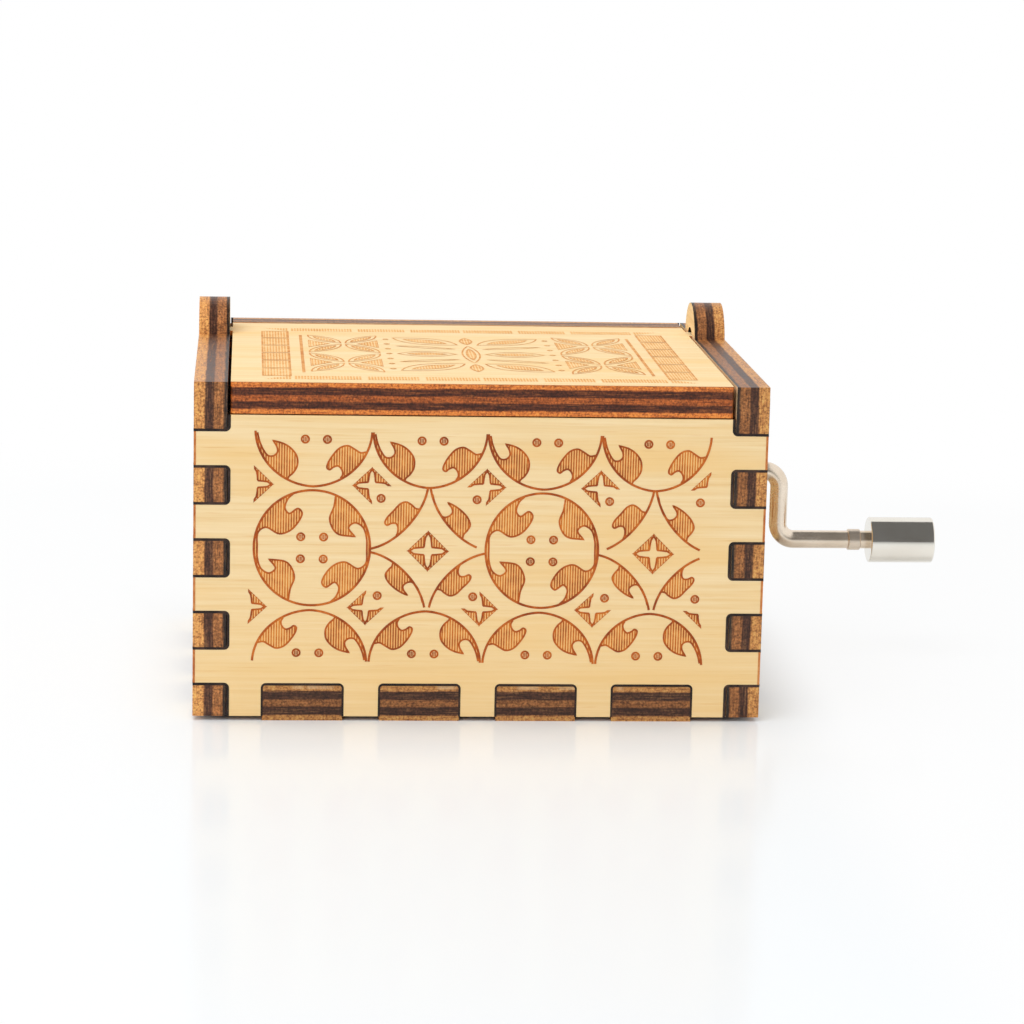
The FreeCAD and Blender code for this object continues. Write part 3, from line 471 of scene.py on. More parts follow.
class Tracery(Marks):
    """Traditional leafy circles, spandrels, stars and dots."""

    def __init__(self):
        super().__init__(TRACERY_LINE, TRACERY_PITCH, TRACERY_STROKE)

    def quarter(self, kind, centre, ring, right, up, dot, lean=0.0, reach=WHOLE_ARC):
        """A quarter arc with its leaf and dot: thorned to the upper right and lower left, else lobed.

        The lean moves the dot across, and the reach in degrees lets the arc stop short of its neighbour.
        """
        centre, ring = np.array(centre), np.array(ring)
        side = np.array(signs(right, up))
        squeeze = SQUEEZE[kind]
        back, front, lobe = LEAVES[kind]
        if right == up:
            leaf, scale = np.vstack([smooth(back), smooth(front)[1:]]), side * ring
        else:
            leaf, scale = smooth(lobe), side * ring * (-1, 1)
        start, end = np.degrees(np.arctan2(leaf[[-1, 0], 1], leaf[[-1, 0], 0]))
        rim = squeezed_arc(start, end, squeeze)
        self.line(centre + squeezed_arc(0, reach, squeeze) * side * ring, ARC_LINE)
        self.line(centre + leaf * scale)
        self.fill(centre + np.vstack([leaf, rim]) * scale)
        self.dot(centre + np.array(dot) * side + (lean, 0.0))

    def dot(self, centre):
        angle = np.linspace(0, 2 * math.pi, DOT_CORNERS, endpoint=False)
        self.line(centre + np.column_stack([np.cos(angle), np.sin(angle)]) * DOT, closed=True)
        inside = np.array([(-1, -1), (1, -1), (1, 1), (-1, 1)]) * DOT_CORE
        self.lines.append(hatching(inside, DOT_PITCH, DOT_STROKE) + centre)

    def star(self, centre, size, quarters):
        for quarter in quarters:
            self.shape(centre + np.array(STAR_QUARTER) * signs(*quarter) * size)


def tracery(joints, top, bottom, stops_short=()):
    """Rows of leafy arcs between upright joints, given by their places across.

    Half circles hang from the top and stand on the bottom. Between them whole circles take turns with
    spandrels: four quarter arcs round the cell's corners, with a big star in the middle. Small stars sit on the
    joints.
    """
    work = Tracery()
    middle = (top["star"] + bottom["star"]) / 2 - MIDDLE_DROP
    for cell, (low, high) in enumerate(zip(joints[:-1], joints[1:])):
        centre, half = (low + high) / 2, (high - low) / 2
        for right in (False, True):
            for row, up in ((top, False), (bottom, True)):
                work.quarter("half", (centre + row["aside"], row["ends"]), (half - row["half_gap"], row["arc"]),
                             right, up, row["dot"], row["lean"])
        if cell % 2 == 0:
            for right, up in QUARTERS:
                work.quarter("full", (centre, middle), (half - CIRCLE_GAP, CIRCLE), right, up, CIRCLE_DOT)
            continue
        work.star(np.array([centre, middle - BIG_STAR_DROP]), BIG_STAR, QUARTERS)
        for right, up in QUARTERS:
            row = top if up else bottom
            corner = (high if right else low, row["spandrel"])
            ring = (half - row["gap"], abs(row["spandrel"] - middle) - row["short"])
            reach = SHORT_ARC if (cell, right, up) in stops_short else WHOLE_ARC
            work.quarter("spandrel", corner, ring, not right, not up, row["corner_dot"], min(row["lean"], 0.0),
                         reach)
    for joint, x in enumerate(joints):
        cells = ([(joint, True)] if joint < len(joints) - 1 else []) + ([(joint - 1, False)] if joint else [])
        for row, up, shift, share in ((top, True, 0.0, 1.0), (bottom, False, LOW_STAR_SHIFT, LOW_STAR_SHARE)):
            kept = [(right, up) for cell, right in cells]
            kept += [(right, not up) for cell, right in cells if cell % 2 == 0]
            work.star(np.array([x - shift, row["star"]]), STAR * share, kept)
    return work


# Heights of a row's arc ends, stars and spandrel corners, how far its half circles sit aside and how deep they
# are, how far each arc keeps from the next one across and up, where the dots sit from the middle of a half
# circle and from a spandrel's corner, and how far they lean across.
TOP_ROW = {"aside": 0.0, "ends": 33.0 * MM, "arc": 6.18 * MM, "half_gap": 0.07 * MM, "star": 27.0 * MM,
           "spandrel": 26.72 * MM, "gap": 0.16 * MM, "short": 0.0, "dot": (1.22 * MM, 0.87 * MM),
           "corner_dot": (1.05 * MM, 1.15 * MM), "lean": 0.28 * MM}
BOTTOM_ROW = {"aside": -0.10 * MM, "ends": 6.9 * MM, "arc": 5.86 * MM, "half_gap": 0.14 * MM, "star": 13.1 * MM,
              "spandrel": 13.2 * MM, "gap": 0.26 * MM, "short": 0.4 * MM, "dot": (1.27 * MM, 0.96 * MM),
              "corner_dot": (1.05 * MM, 1.3 * MM), "lean": -0.20 * MM}
FRONT_JOINTS = np.array([-25.35, -12.3, 0.5, 13.25, 25.58]) * MM
REAR_JOINTS = np.linspace(-25.2, 25.2, 5) * MM
SIDE_JOINTS = np.linspace(-18.9, 18.9, 4) * MM
# Spandrel arcs that stop short of the next circle, as (cell, right, up).
SHORT_ARCS = {(1, True, True), (3, False, True), (3, True, True), (3, True, False)}

base_low, base_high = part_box("bottom_panel")
FACES = {"front": Face((1, 0, 0), (0, 0, 1), (0, -1, 0), -base_low.y),
         "rear": Face((-1, 0, 0), (0, 0, 1), (0, 1, 0), base_high.y),
         "left": Face((0, -1, 0), (0, 0, 1), (-1, 0, 0), -base_low.x),
         "right": Face((0, 1, 0), (0, 0, 1), (1, 0, 0), base_high.x)}
crank_joint = next(joint for joint in frame["joints"] if joint["name"] == "crank_spin")
arm_x, shaft_y, shaft_z = crank_joint["pos_m"]
SHAFT_CLEARANCE = 2.6 * MM
ASKEW = 0.006                   # the front drawing sits turned by this angle in radians
ASKEW_ABOUT = np.array([FRONT_JOINTS[0], 20 * MM])


def clear_of_shaft(quads):
    return np.linalg.norm(quads - np.array([shaft_y, shaft_z]), axis=2).min(1) > SHAFT_CLEARANCE


WALL_JOINTS = {"front": FRONT_JOINTS, "rear": REAR_JOINTS, "left": SIDE_JOINTS, "right": SIDE_JOINTS}
for side, joints in WALL_JOINTS.items():
    drawing = tracery(joints, TOP_ROW, BOTTOM_ROW, SHORT_ARCS if side == "front" else ())
    if side == "front":
        drawing.turn(ASKEW_ABOUT, ASKEW)
    drawing.burn(side + "_tracery", FACES[side], "case", ENGRAVED, clear_of_shaft if side == "right" else None)


# ---------------- drawing on the lid
LID_FACE = Face((1, 0, 0), (0, 1, 0), (0, 0, 1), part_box("lid")[1].z)


def box_outline(left, right, low, high):
    return np.array([(left, low), (right, low), (right, high), (left, high)]) * MM


def lens(start, end, bulge, steps=14):
    """Pointed oval between two places in mm: a straight line bowed to both sides by bulge times 4t(1 - t)."""
    start, end = np.array(start, float), np.array(end, float)
    share = np.linspace(0, 1, steps + 1)[:, None]
    across = np.array([-(end - start)[1], (end - start)[0]]) / np.linalg.norm(end - start)
    bow = 4 * share * (1 - share) * bulge * across
    spine = start + share * (end - start)
    return np.vstack([spine + bow, (spine - bow)[-2:0:-1]]) * MM


def petal(work, start, end, bulge):
    """An outlined pointed oval with a hatched core."""
    start, end = np.array(start, float), np.array(end, float)
    work.line(lens(start, end, bulge), closed=True)
    work.shape(lens(start + 0.17 * (end - start), start + 0.83 * (end - start), 0.5 * bulge))


LID_LINE, LID_PITCH, LID_STROKE = 0.20 * MM, 0.34 * MM, 0.17 * MM

# The lid's drawing, in mm from its middle. A distance across is used to the right and to the left.
SIDE_BORDER = (24.4, 21.3)                      # outer and inner edge
CELLS, CELL_FOOT, CELL_PITCH = 6, -21.4, 5.97
CELL_SPAN = (0.25, 5.7)                         # of a cell's hatching, from the cell's foot
FRAME_LINE, FRAME_ENDS, FRAME_WIDTH = 19.8, (-18.5, 11.0), 0.35
BLOOM, BLOOM_HEIGHTS = 14.8, (-10.6, 4.2)       # the crossed petals' middle across, and up
BLOOM_ROOT, BLOOM_TIP, BLOOM_BULGE = (0.3, 0.5), (4.1, 7.0), 1.15
WEDGE_TIP, WEDGE = 1.7, (2.4, 2.9)              # a wedge's tip from that middle, and its length and half height
SEEDS, SEED, SEED_TOP, SEED_PITCH, SEED_BULGE = 7, (9.9, 9.3), 8.4, 3.9, 0.35
ROSETTE = (((1.2, 4.2), (8.7, 9.6), 2.3), ((1.7, -3.3), (8.6, -3.3), 2.0), ((1.2, -10.8), (8.7, -16.2), 2.3))
BLADES = (((1.6, 0.8), (8.6, 3.0)), ((1.6, -7.4), (8.6, -9.6)))
BLADE_BULGE = 0.55
SPINE = ((0, 3.4), (0, -10.0), 1.0)
BUDS, BUD_BULGE = ((4.6, 10.0), (-11.2, -16.6)), 0.7
END_BORDERS = ((-23.5, -21.1), (14.6, 16.9))
END_CELLS, END_CELL_GAP = (-21.2, -13.2, -6.6, 0.0, 6.6, 13.2, 21.2), 0.3
CORNER = (24.2, 21.3)                           # a corner triangle's tip and base, across


def lid_drawing():
    """Hatched borders in cells, frame lines, crossed petals in the side panels and a rosette between them."""
    work = Marks(LID_LINE, LID_PITCH, LID_STROKE)
    for s in (-1, 1):
        for cell in range(CELLS):
            low = CELL_FOOT + CELL_PITCH * cell
            left, right = sorted(s * edge for edge in SIDE_BORDER)
            work.shape(box_outline(left, right, low + CELL_SPAN[0], low + CELL_SPAN[1]))
        work.line(np.array([(s * FRAME_LINE, y) for y in FRAME_ENDS]) * MM, FRAME_WIDTH * MM)
        for y in BLOOM_HEIGHTS:
            for right, up in QUARTERS:
                middle, way = np.array([s * BLOOM, y]), np.array(signs(right, up))
                petal(work, middle + way * BLOOM_ROOT, middle + way * BLOOM_TIP, BLOOM_BULGE)
            for across in (-1, 1):
                tip = s * BLOOM + WEDGE_TIP * across
                base = tip + WEDGE[0] * across
                work.shape(np.array([(tip, y), (base, y - WEDGE[1]), (base, y + WEDGE[1])]) * MM)
        for row in range(SEEDS):
            height = SEED_TOP - SEED_PITCH * row
            work.shape(lens((s * SEED[0], height), (s * SEED[1], height), SEED_BULGE, 6))
        for (root, low), (tip, high), bulge in ROSETTE:
            petal(work, (s * root, low), (s * tip, high), bulge)
        for (root, low), (tip, high) in BLADES:
            work.line(lens((s * root, low), (s * tip, high), BLADE_BULGE), closed=True)
    petal(work, *SPINE)
    for low, high in BUDS:
        work.shape(lens((0, low), (0, high), BUD_BULGE))
    for low, high in END_BORDERS:
        for left, right in zip(END_CELLS[:-1], END_CELLS[1:]):
            work.fill(box_outline(left + END_CELL_GAP, right - END_CELL_GAP, low, high))
        tip, base = (low, high) if low < 0 else (high, low)
        for s in (-1, 1):
            work.fill(np.array([(s * CORNER[0], tip), (s * CORNER[1], tip), (s * CORNER[1], base)]) * MM)
    return work


lid_drawing().burn("lid_drawing", LID_FACE, "lid", LIGHT)
# Orange bands painted on the lid's top along its front and rear edges.
LID_EDGE_BANDS = {-25.90: 0.18, 21.45: 0.45}        # place in mm of each orange band painted along a lid edge, and its width
LID_EDGE_BAND_END = 27.9                           # in mm from the middle
lid_bands = [ribbon(np.array([(-LID_EDGE_BAND_END, y), (LID_EDGE_BAND_END, y)]) * MM, width * MM)
            for y, width in LID_EDGE_BANDS.items()]
flat_piece("lid_edge_bands", LID_FACE, lid_bands, LINE_LEVEL, "lid", edge_scorch)


# ---------------- charred kerfs round the fingers and tabs
FINGER = 4.4 * MM               # height of a slot for a finger
FINGER_PITCH = 8.25 * MM
LOWEST_FINGER = 2.1 * MM
SLOT_DEPTH = 4.05 * MM
SLOT_ROUND = 0.45 * MM
TAB = 9.3 * MM
TAB_PITCH = 13.15 * MM
TAB_TOP = 4.25 * MM
FOOT = 0.5 * MM
HALF_WIDTH, HALF_DEPTH = base_high.x, base_high.y
WALL_TOP, FRONT_TOP, TOP_SLOT = 38.4 * MM, 34.75 * MM, 32.9 * MM
KERF = 0.30 * MM
TAB_KERF = 0.24 * MM
INSET = 0.12 * MM               # kerf's middle, inside the edge of its slot
WALL_SLOT = (2.05 * MM, 6.2 * MM)       # a left or right panel's slot, from the middle of a front panel's slot
END_SCORCH, SIDE_SCORCH = 0.26 * MM, 0.18 * MM
ROWS = 4
END_TABS, SIDE_TABS = 4, 3


ROUND_TURN = np.radians(np.linspace(0, 90, 7))[:, None]     # angles along the rounding of a slot's corner


def path_corners(path):
    """Each inner point of an open line, with the directions in which the line comes to it and leaves it."""
    path = np.asarray(path, float)
    for before, corner, after in zip(path[:-2], path[1:-1], path[2:]):
        yield (corner, (corner - before) / np.linalg.norm(corner - before),
               (after - corner) / np.linalg.norm(after - corner))


def rounded(path, radius):
    """The open line through right-angled corners with each one rounded off."""
    path = np.asarray(path, float)
    back, on = radius * (1 - np.sin(ROUND_TURN)), radius * (1 - np.cos(ROUND_TURN))
    pieces = [corner - back * arriving + on * leaving for corner, arriving, leaving in path_corners(path)]
    return np.vstack([path[:1], *pieces, path[-1:]])


def corner_fillings(path, width):
    """Quads that fill each right-angled corner of a slot outside its rounded kerf: from the kerf's outer arc to
    the two straight edges, along rays from the arc's centre."""
    turn = ROUND_TURN
    reach = SLOT_ROUND + width / 2
    quads = []
    for corner, arriving, leaving in path_corners(path):
        centre = corner - SLOT_ROUND * arriving + SLOT_ROUND * leaving
        ray = arriving * np.sin(turn) - leaving * np.cos(turn)
        arc = centre + reach * ray
        square = centre + reach * ray / np.maximum(np.sin(turn), np.cos(turn))
        quads.append(np.stack([arc[:-1], square[:-1], square[1:], arc[1:]], axis=1))
    return quads


def kerfs(half, slots, tabs, notch_floor=None, notch_top=None):
    """Charred outlines of the finger slots at both ends of a wall and of the tab slots at its foot, and the
    wood that rounds their corners.

    A slot that reaches the foot stays open there, and the notch above the last finger is open at the top.
    """
    inner = half - SLOT_DEPTH + INSET
    paths = []
    for low, high in slots:
        path = [(half, high - INSET), (inner, high - INSET)]
        paths.append(path + ([(inner, FOOT)] if low < FOOT else [(inner, low + INSET), (half, low + INSET)]))
    if notch_floor:
        paths.append([(half, notch_floor + INSET), (inner, notch_floor + INSET), (inner, notch_top)])
    outlines = [(np.array(path) * (end, 1), KERF) for path in paths for end in (-1, 1)]
    reach, top = TAB / 2 - INSET, TAB_TOP - INSET / 2
    for tab in range(tabs):
        centre = (tab - (tabs - 1) / 2) * TAB_PITCH
        left, right = centre - reach, centre + reach
        outlines.append(([(left, FOOT), (left, top), (right, top), (right, FOOT)], TAB_KERF))
    lines = [ribbon(rounded(path, SLOT_ROUND), width) for path, width in outlines]
    fillings = [quads for path, width in outlines for quads in corner_fillings(path, width)]
    return lines, fillings


def mark_joints(side, half, slots, tabs, *notch):
    lines, fillings = kerfs(half, slots, tabs, *notch)
    flat_piece(side + "_kerfs", FACES[side], lines, KERF_LEVEL, "case", kerf_char)
    flat_piece(side + "_slot_corners", FACES[side], fillings, WASH_LEVEL, "case", wall_wood[side])


def scorch_ends(side, half, spans, width):
    """Scorched outer edges of a wall, where its own fingers reach the corner."""
    middle = half - width / 2
    scorches = [ribbon([(end * middle, low), (end * middle, high)], width)
                for low, high in spans for end in (-1, 1)]
    flat_piece(side + "_edge_scorch", FACES[side], scorches, LINE_LEVEL, "case", edge_scorch)


rows = [LOWEST_FINGER + k * FINGER_PITCH for k in range(ROWS)]
finger_slots = [(middle - FINGER / 2, middle + FINGER / 2) for middle in rows]
own_fingers = [(middle + FINGER / 2, middle + FINGER_PITCH - FINGER / 2) for middle in rows]
wall_slots = [(middle + WALL_SLOT[0], middle + WALL_SLOT[1]) for middle in rows]
wall_fingers = [(middle + WALL_SLOT[1], middle + FINGER_PITCH + WALL_SLOT[0]) for middle in rows]
for side, top in (("front", FRONT_TOP), ("rear", WALL_TOP)):
    mark_joints(side, HALF_WIDTH, finger_slots, END_TABS, TOP_SLOT, top)
    scorch_ends(side, HALF_WIDTH, own_fingers, END_SCORCH)
for side in ("left", "right"):
    mark_joints(side, HALF_DEPTH, wall_slots, SIDE_TABS)
    scorch_ends(side, HALF_DEPTH, wall_fingers, SIDE_SCORCH)


# ---------------- skins carried along a path
SEGMENTS = 64                   # points round a turned piece or a wire
RIM_GUARD = 0.02 * MM           # narrow band each side of a rounded rim, which keeps its shading off the flats
BEND_STEPS, TIP_STEPS = 17, 6   # rings along a wire's bend, and along its rounded end


def skin(name, rings, body, material, replaced=None, shade=True):
    """A closed skin through rings of points, given as (rings, points round, 3), with flat ends."""
    rings = np.asarray(rings)
    count, around = rings.shape[:2]
    index = np.arange(count * around).reshape(count, around)
    following = np.roll(index, -1, axis=1)
    faces = np.stack([index[:-1], following[:-1], following[1:], index[1:]], axis=-1).reshape(-1, 4).tolist()
    mesh = bpy.data.meshes.new(name)
    mesh.from_pydata(rings.reshape(-1, 3).tolist(), [], faces + [index[0, ::-1].tolist(), index[-1].tolist()])
    if shade:
        mesh.shade_smooth()
    mesh.update()
    piece = show(name, mesh, material)
    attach(piece, body)
    if replaced:
        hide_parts(replaced)
    return piece


BEAD = 0.34 * MM
BEAD_FOOT, FRONT_BEAD_TOP, REAR_BEAD_TOP = 4.1 * MM, 34.6 * MM, 38.2 * MM
WALL = 3.7 * MM                 # thickness of the walls
BOW_STEPS = 7                   # points along a rounded rim or a bead's bow


def glue_bead(name, x, y, low, high):
    """Charred glue in an inside corner: a bar whose face bows inwards, carried straight up."""
    turn = np.radians(np.linspace(0, 90, BOW_STEPS))
    bow = np.column_stack([1 - np.sin(turn), 1 - np.cos(turn)]) * BEAD
    profile = np.vstack([[0, 0], bow]) * (-np.sign(x), -np.sign(y)) + (x, y)
    edge = np.roll(profile, -1, axis=0)
    if (profile[:, 0] * edge[:, 1] - profile[:, 1] * edge[:, 0]).sum() < 0:
        profile = profile[::-1]
    rings = np.stack([np.column_stack([profile, np.full(len(profile), z)]) for z in (low, high)])
    skin(name, rings, "case", glue_char, shade=False)


for end, x in (("left", -1), ("right", 1)):
    for side, y, top in (("front", -1, FRONT_BEAD_TOP), ("rear", 1, REAR_BEAD_TOP)):
        glue_bead(f"glue_bead_{side}_{end}", x * (HALF_WIDTH - WALL), y * (HALF_DEPTH - WALL), BEAD_FOOT, top)


def ring_angles():
    """Angles of the points round a turned piece or a wire."""
    return np.linspace(0, 2 * math.pi, SEGMENTS, endpoint=False)


def turned(profile, y, z):
    """Rings of a shape turned about a line along X, from (x, radius) points."""
    x, radius = np.asarray(profile).T
    angle = ring_angles()
    return np.stack([np.broadcast_to(x[:, None], (len(x), SEGMENTS)),
                     y + radius[:, None] * np.cos(angle), z + radius[:, None] * np.sin(angle)], axis=-1)


def barrel(low, high, radius, bore, rounding):
    """Profile of a turned piece along X: a flat end, a rounded rim, a straight side, and the same again."""
    turn = np.radians(np.linspace(0, 90, BOW_STEPS))
    rim = np.column_stack([rounding * (1 - np.sin(turn)), radius - rounding * (1 - np.cos(turn))])[::-1]
    end = np.vstack([[0, bore], [0, radius - rounding - RIM_GUARD], rim, [rounding + RIM_GUARD, radius]])
    return np.vstack([end + (low, 0), end[::-1] * (-1, 1) + (high, 0)])


def bent_wire(corners, y, radius, bend, tip):
    """Rings of round wire in a plane of even Y: straight runs, a quarter bend at each corner, rounded ends."""
    corners = np.asarray(corners, float)
    runs = np.diff(corners, axis=0)
    runs /= np.linalg.norm(runs, axis=1, keepdims=True)
    turn = np.radians(np.linspace(0, 90, BEND_STEPS))[:, None]
    rounding = np.radians(np.linspace(90, 0, TIP_STEPS))
    inset, end_radius = tip * (1 - np.sin(rounding))[:, None], radius - tip * (1 - np.cos(rounding))
    centres, along = [corners[0] + runs[0] * inset], [np.repeat(runs[:1], TIP_STEPS, 0)]
    for corner, before, after in zip(corners[1:-1], runs[:-1], runs[1:]):
        hub = corner - before * bend + after * bend
        centres.append(hub - after * bend * np.cos(turn) + before * bend * np.sin(turn))
        along.append(before * np.cos(turn) + after * np.sin(turn))
    centres = np.vstack(centres + [(corners[-1] - runs[-1] * inset)[::-1]])
    along = np.vstack(along + [np.repeat(runs[-1:], TIP_STEPS, 0)])
    radii = np.concatenate([end_radius, np.full(len(centres) - 2 * TIP_STEPS, radius), end_radius[::-1]])
    side = np.column_stack([-along[:, 1], along[:, 0]])
    angle = ring_angles()
    place = centres[:, None] + side[:, None] * (radii[:, None] * np.cos(angle))[..., None]
    return np.stack([place[..., 0], y + radii[:, None] * np.sin(angle), place[..., 1]], axis=-1)[:, ::-1]


# ---------------- crank
# Fineness in grains a metre of a metal's clouds, of scratches along X, and of a casting's, which run all ways.
CLOUDS, LENGTHWISE, CAST = (220.0,) * 3, (400.0, 5400.0, 5400.0), (900.0,) * 3
POLISH_SPREAD = 0.12


def metal(name, colour, shade, roughness, relief=0.01, scratches=LENGTHWISE, metallic=1.0):
    """Cast, plated or turned metal: a little cloudiness in colour and polish, and fine scratches."""
    g = material_graph(name)
    place = g.place()
    cloud = g.noise(place, CLOUDS, detail=3.0)
    scratch = g.noise(place, scratches, detail=2.0, roughness=0.7)
    tone = g.ramp(cloud, [(0.35, shade), (0.65, colour)])
    polish = g.maths("MULTIPLY_ADD", g.maths("ADD", cloud, scratch), POLISH_SPREAD, roughness - POLISH_SPREAD)
    return g.finish(tone, polish, metallic, normal=g.bump(scratch, relief * MM, 0.35))


wire = metal("nickel_wire", tint(250, 234, 214), tint(234, 216, 194), 0.24, relief=0.006)
sleeve = metal("sleeve_nickel", tint(240, 225, 207), tint(220, 204, 185), 0.34, relief=0.01)
chrome = metal("knob_chrome", tint(252, 247, 237), tint(246, 240, 229), 0.13, relief=0.003)

WIRE = 1.1 * MM                 # radius of the wire
BEND = 2.0 * MM
WIRE_TIP = 0.25 * MM            # rounding of the wire's ends
SLEEVE_BORE = WIRE - 0.05 * MM
SLEEVE_RIM, KNOB_RIM = 0.10 * MM, 0.16 * MM
KNOB_CENTRE = 0.02 * MM         # radius at which the knob's ends close
KNOB_FACE = 0.5 * MM            # the shell's flat end, beyond the start of the solid's tapered shoulder
rod_low, rod_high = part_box("crank_rod")
collar_low, collar_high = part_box("crank_collar")
knob_low, knob_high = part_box("crank_knob")
knob_z = (knob_low.z + knob_high.z) / 2
wire_path = [(rod_low.x, shaft_z), (arm_x, shaft_z), (arm_x, knob_z), (rod_high.x, knob_z)]
wire_rings = bent_wire(wire_path, shaft_y, WIRE, BEND, WIRE_TIP)
skin("crank_wire", wire_rings, "crank", wire, "crank_rod")
collar_radius = (collar_high.z - collar_low.z) / 2
sleeve_profile = barrel(collar_low.x, collar_high.x, collar_radius, SLEEVE_BORE, SLEEVE_RIM)
skin("crank_sleeve", turned(sleeve_profile, shaft_y, knob_z), "crank", sleeve, "crank_collar")
knob_radius = (knob_high.z - knob_low.z) / 2
knob_profile = barrel(knob_low.x + KNOB_FACE, knob_high.x, knob_radius, KNOB_CENTRE, KNOB_RIM)
skin("knob_shell", turned(knob_profile, shaft_y, knob_z), "knob", chrome, "crank_knob")


# ---------------- movement
zinc = metal("zinc_casting", tint(214, 214, 212), tint(190, 190, 190), 0.50, relief=0.03, scratches=CAST,
             metallic=0.5)
plate = metal("plated_sheet", tint(222, 221, 216), tint(202, 200, 196), 0.36, metallic=0.65)
steel = metal("spring_steel", tint(212, 214, 216), tint(188, 191, 196), 0.32, metallic=0.65)
lead = metal("lead", tint(120, 122, 126), tint(94, 96, 100), 0.6, relief=0.03, scratches=CAST, metallic=0.6)
brass = metal("turned_brass", tint(232, 194, 112), tint(214, 170, 88), 0.30, metallic=0.75)


def nylon_finish():
    g = material_graph("moulded_nylon")
    cloud = g.noise(g.place(), (500.0,) * 3, detail=3.0)
    return g.finish(g.ramp(cloud, [(0.3, tint(226, 222, 208)), (0.7, tint(240, 237, 226))]), 0.42,
                    normal=g.bump(cloud, 0.02 * MM, 0.3))


MOVEMENT = ((zinc, ("bedplate",)),
            (plate, ("front_bearing", "shaft_bracket", "comb_screws", "bracket_screws", "bedplate_screws")),
            (steel, ("comb", "cylinder_arbor", "cylinder_pins")),
            (lead, ("comb_weights",)),
            (brass, ("cylinder_drum", "cylinder_caps", "worm")),
            (nylon_finish(), ("cylinder_gear",)))
for finish, names in MOVEMENT:
    for node in names:
        dress(nodes[node], finish)


# ---------------- floor, light and camera
FLOOR = 6.0                     # from the middle to each edge
# The floor turns white for the camera between these distances: beside the box, behind it, and round a point in
# front of it. Beside the box this is painted light that covers the box's own shadow.
PAINTED_LIGHT_BESIDE, WHITE_BEHIND, WHITE_AROUND = (28 * MM, 44 * MM), (0.0, 50 * MM), (50 * MM, 220 * MM)
AROUND_POINT = (0.0, -60 * MM, 0.0)
NEARBY_WHITE = 0.85


def floor_finish():
    """Pale paper that keeps the box's shadow in front of it and melts into the white backdrop further off; to
    the box's sides, painted white light covers most of its shadow.
    """
    g = material_graph("paper_floor")
    place = g.place()
    cloud = g.noise(place, (3.0,) * 3, detail=1.0)
    colour = g.ramp(cloud, [(0.2, tint(236, 239, 241)), (0.8, tint(239, 242, 244))])
    paper = g.add("BsdfPrincipled", {"Base Color": colour, "Roughness": 0.14, "Specular IOR Level": 0.07})
    backdrop = g.add("Emission", {"Color": WHITE, "Strength": 1.0})
    distance = g.add("VectorMath", {0: place, 1: AROUND_POINT}, output=1, operation="DISTANCE")
    # painted light: the camera sees the floor whitened over the box's shadow to either side of it
    painted_light_beside = g.between(g.maths("ABSOLUTE", g.part(place, X)), *PAINTED_LIGHT_BESIDE)
    behind = g.between(g.part(place, Y), *WHITE_BEHIND)
    near = g.maths("MULTIPLY", g.maths("MAXIMUM", painted_light_beside, behind), NEARBY_WHITE)
    far = g.maths("MAXIMUM", near, g.between(distance, *WHITE_AROUND))
    seen = g.maths("MULTIPLY", far, g.add("LightPath", output="Is Camera Ray"))
    g.add("OutputMaterial", {"Surface": g.add("MixShader", {0: seen, 1: paper, 2: backdrop})})
    return g.owner


floor_mesh = bpy.data.meshes.new("floor")
floor_corners = [(x * FLOOR, y * FLOOR, 0) for x, y in ((-1, -1), (1, -1), (1, 1), (-1, 1))]
floor_mesh.from_pydata(floor_corners, [], [(0, 1, 2, 3)])
floor = show("floor", floor_mesh, floor_finish())

WORLD_LIGHT = 0.62
STUDIO_DIM, STUDIO_BRIGHT = 0.14, 0.90
SWEEP_EDGE, PANEL_EDGE = (0.40, 0.47), (0.28, 0.42)     # share of a direction that points back, and right


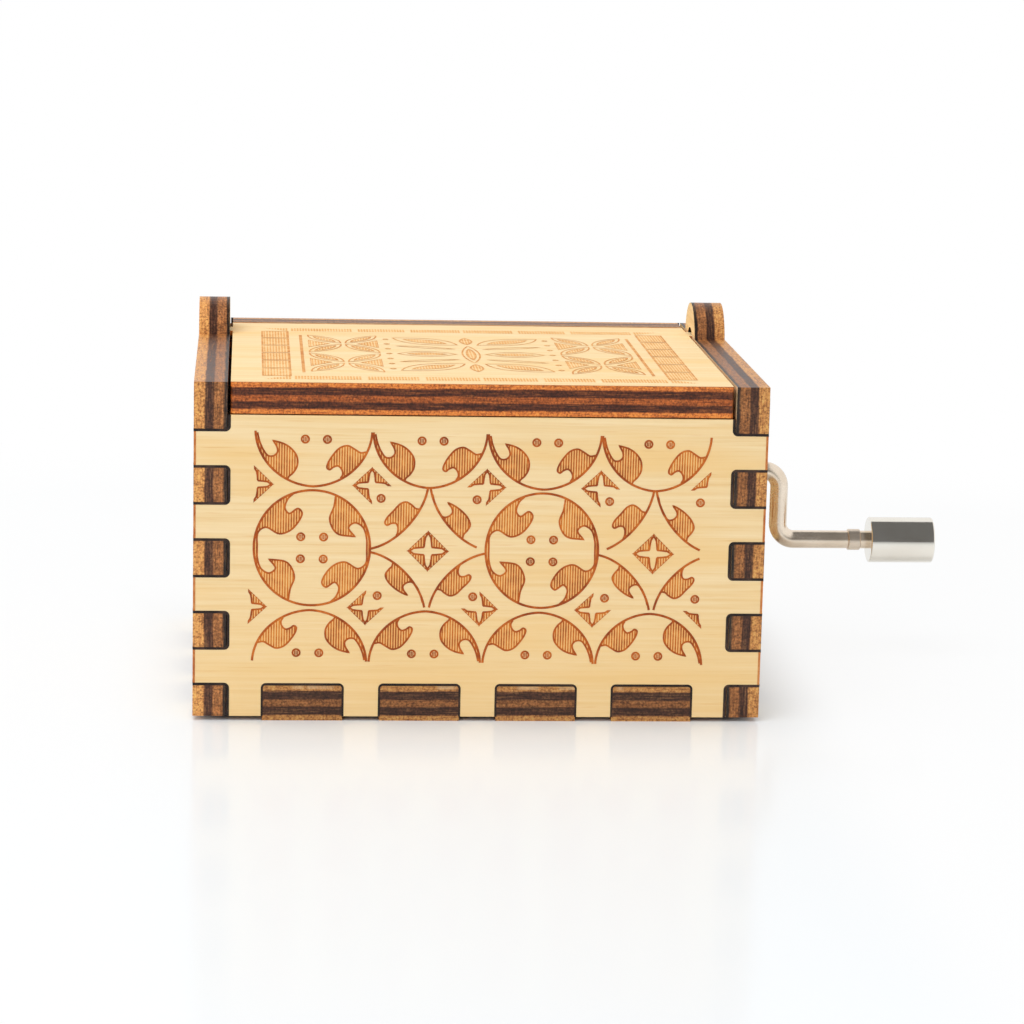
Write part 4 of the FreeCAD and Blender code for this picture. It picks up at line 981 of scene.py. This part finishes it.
def studio_world():
    """Even pale light. Reflections see a pale sweep behind the box and a panel to its right in a dim studio."""
    g = Graph(bpy.data.worlds.new("studio"))
    way = g.add("TexCoord", output="Generated")
    sweep = g.between(g.part(way, Y), *SWEEP_EDGE, STUDIO_DIM, STUDIO_BRIGHT)
    panel = g.between(g.part(way, X), *PANEL_EDGE, STUDIO_DIM, STUDIO_BRIGHT)
    mirrored = g.maths("MAXIMUM", sweep, panel)
    path = g.add("LightPath").node
    level = g.add("Mix", {0: path.outputs["Is Glossy Ray"], 2: WORLD_LIGHT, 3: mirrored}, data_type="FLOAT")
    seen = g.add("Mix", {0: path.outputs["Is Camera Ray"], 2: level, 3: 1.0}, data_type="FLOAT")
    g.add("OutputWorld", {"Surface": g.add("Background", {"Color": WHITE, "Strength": seen})})
    return g.owner


bpy.context.scene.world = studio_world()


LAMP_TARGET = (0, 0, 20 * MM)


def soft_lamp(name, place, size, power):
    lamp = bpy.data.lights.new(name, "AREA")
    lamp.size = size
    lamp.energy = power
    holder = bpy.data.objects.new(name, lamp)
    holder.location = place
    holder.rotation_euler = (Vector(LAMP_TARGET) - Vector(place)).to_track_quat("-Z", "Y").to_euler()
    holder.visible_glossy = False
    bpy.context.scene.collection.objects.link(holder)


soft_lamp("overhead_lamp", (-0.25, -0.10, 0.75), size=0.6, power=3.3)
soft_lamp("front_lamp", (-0.45, -0.7, 0.35), size=0.5, power=1.85)

CAMERA_PLACE = np.array([-26.17, -395.92, 96.41]) * MM
YAW, PITCH, ROLL = np.radians([4.573, 11.032, 1.324])
FOCAL = 3387.8 / 1024           # focal length in picture widths
SENSOR = 36.0                   # width in mm

forward = np.array([math.sin(YAW) * math.cos(PITCH), math.cos(YAW) * math.cos(PITCH), -math.sin(PITCH)])
level_right = np.array([math.cos(YAW), -math.sin(YAW), 0.0])
level_up = np.cross(level_right, forward)
right = math.cos(ROLL) * level_right + math.sin(ROLL) * level_up
up = math.cos(ROLL) * level_up - math.sin(ROLL) * level_right
camera_data = bpy.data.cameras.new("camera")
camera_data.sensor_width = SENSOR
camera_data.lens = FOCAL * SENSOR
camera = bpy.data.objects.new("camera", camera_data)
placing = np.column_stack([right, up, -forward, CAMERA_PLACE])
camera.matrix_world = Matrix(np.vstack([placing, [0, 0, 0, 1]]).tolist())
bpy.context.scene.collection.objects.link(camera)
bpy.context.scene.camera = camera
bpy.context.scene.view_settings.view_transform = "Standard"
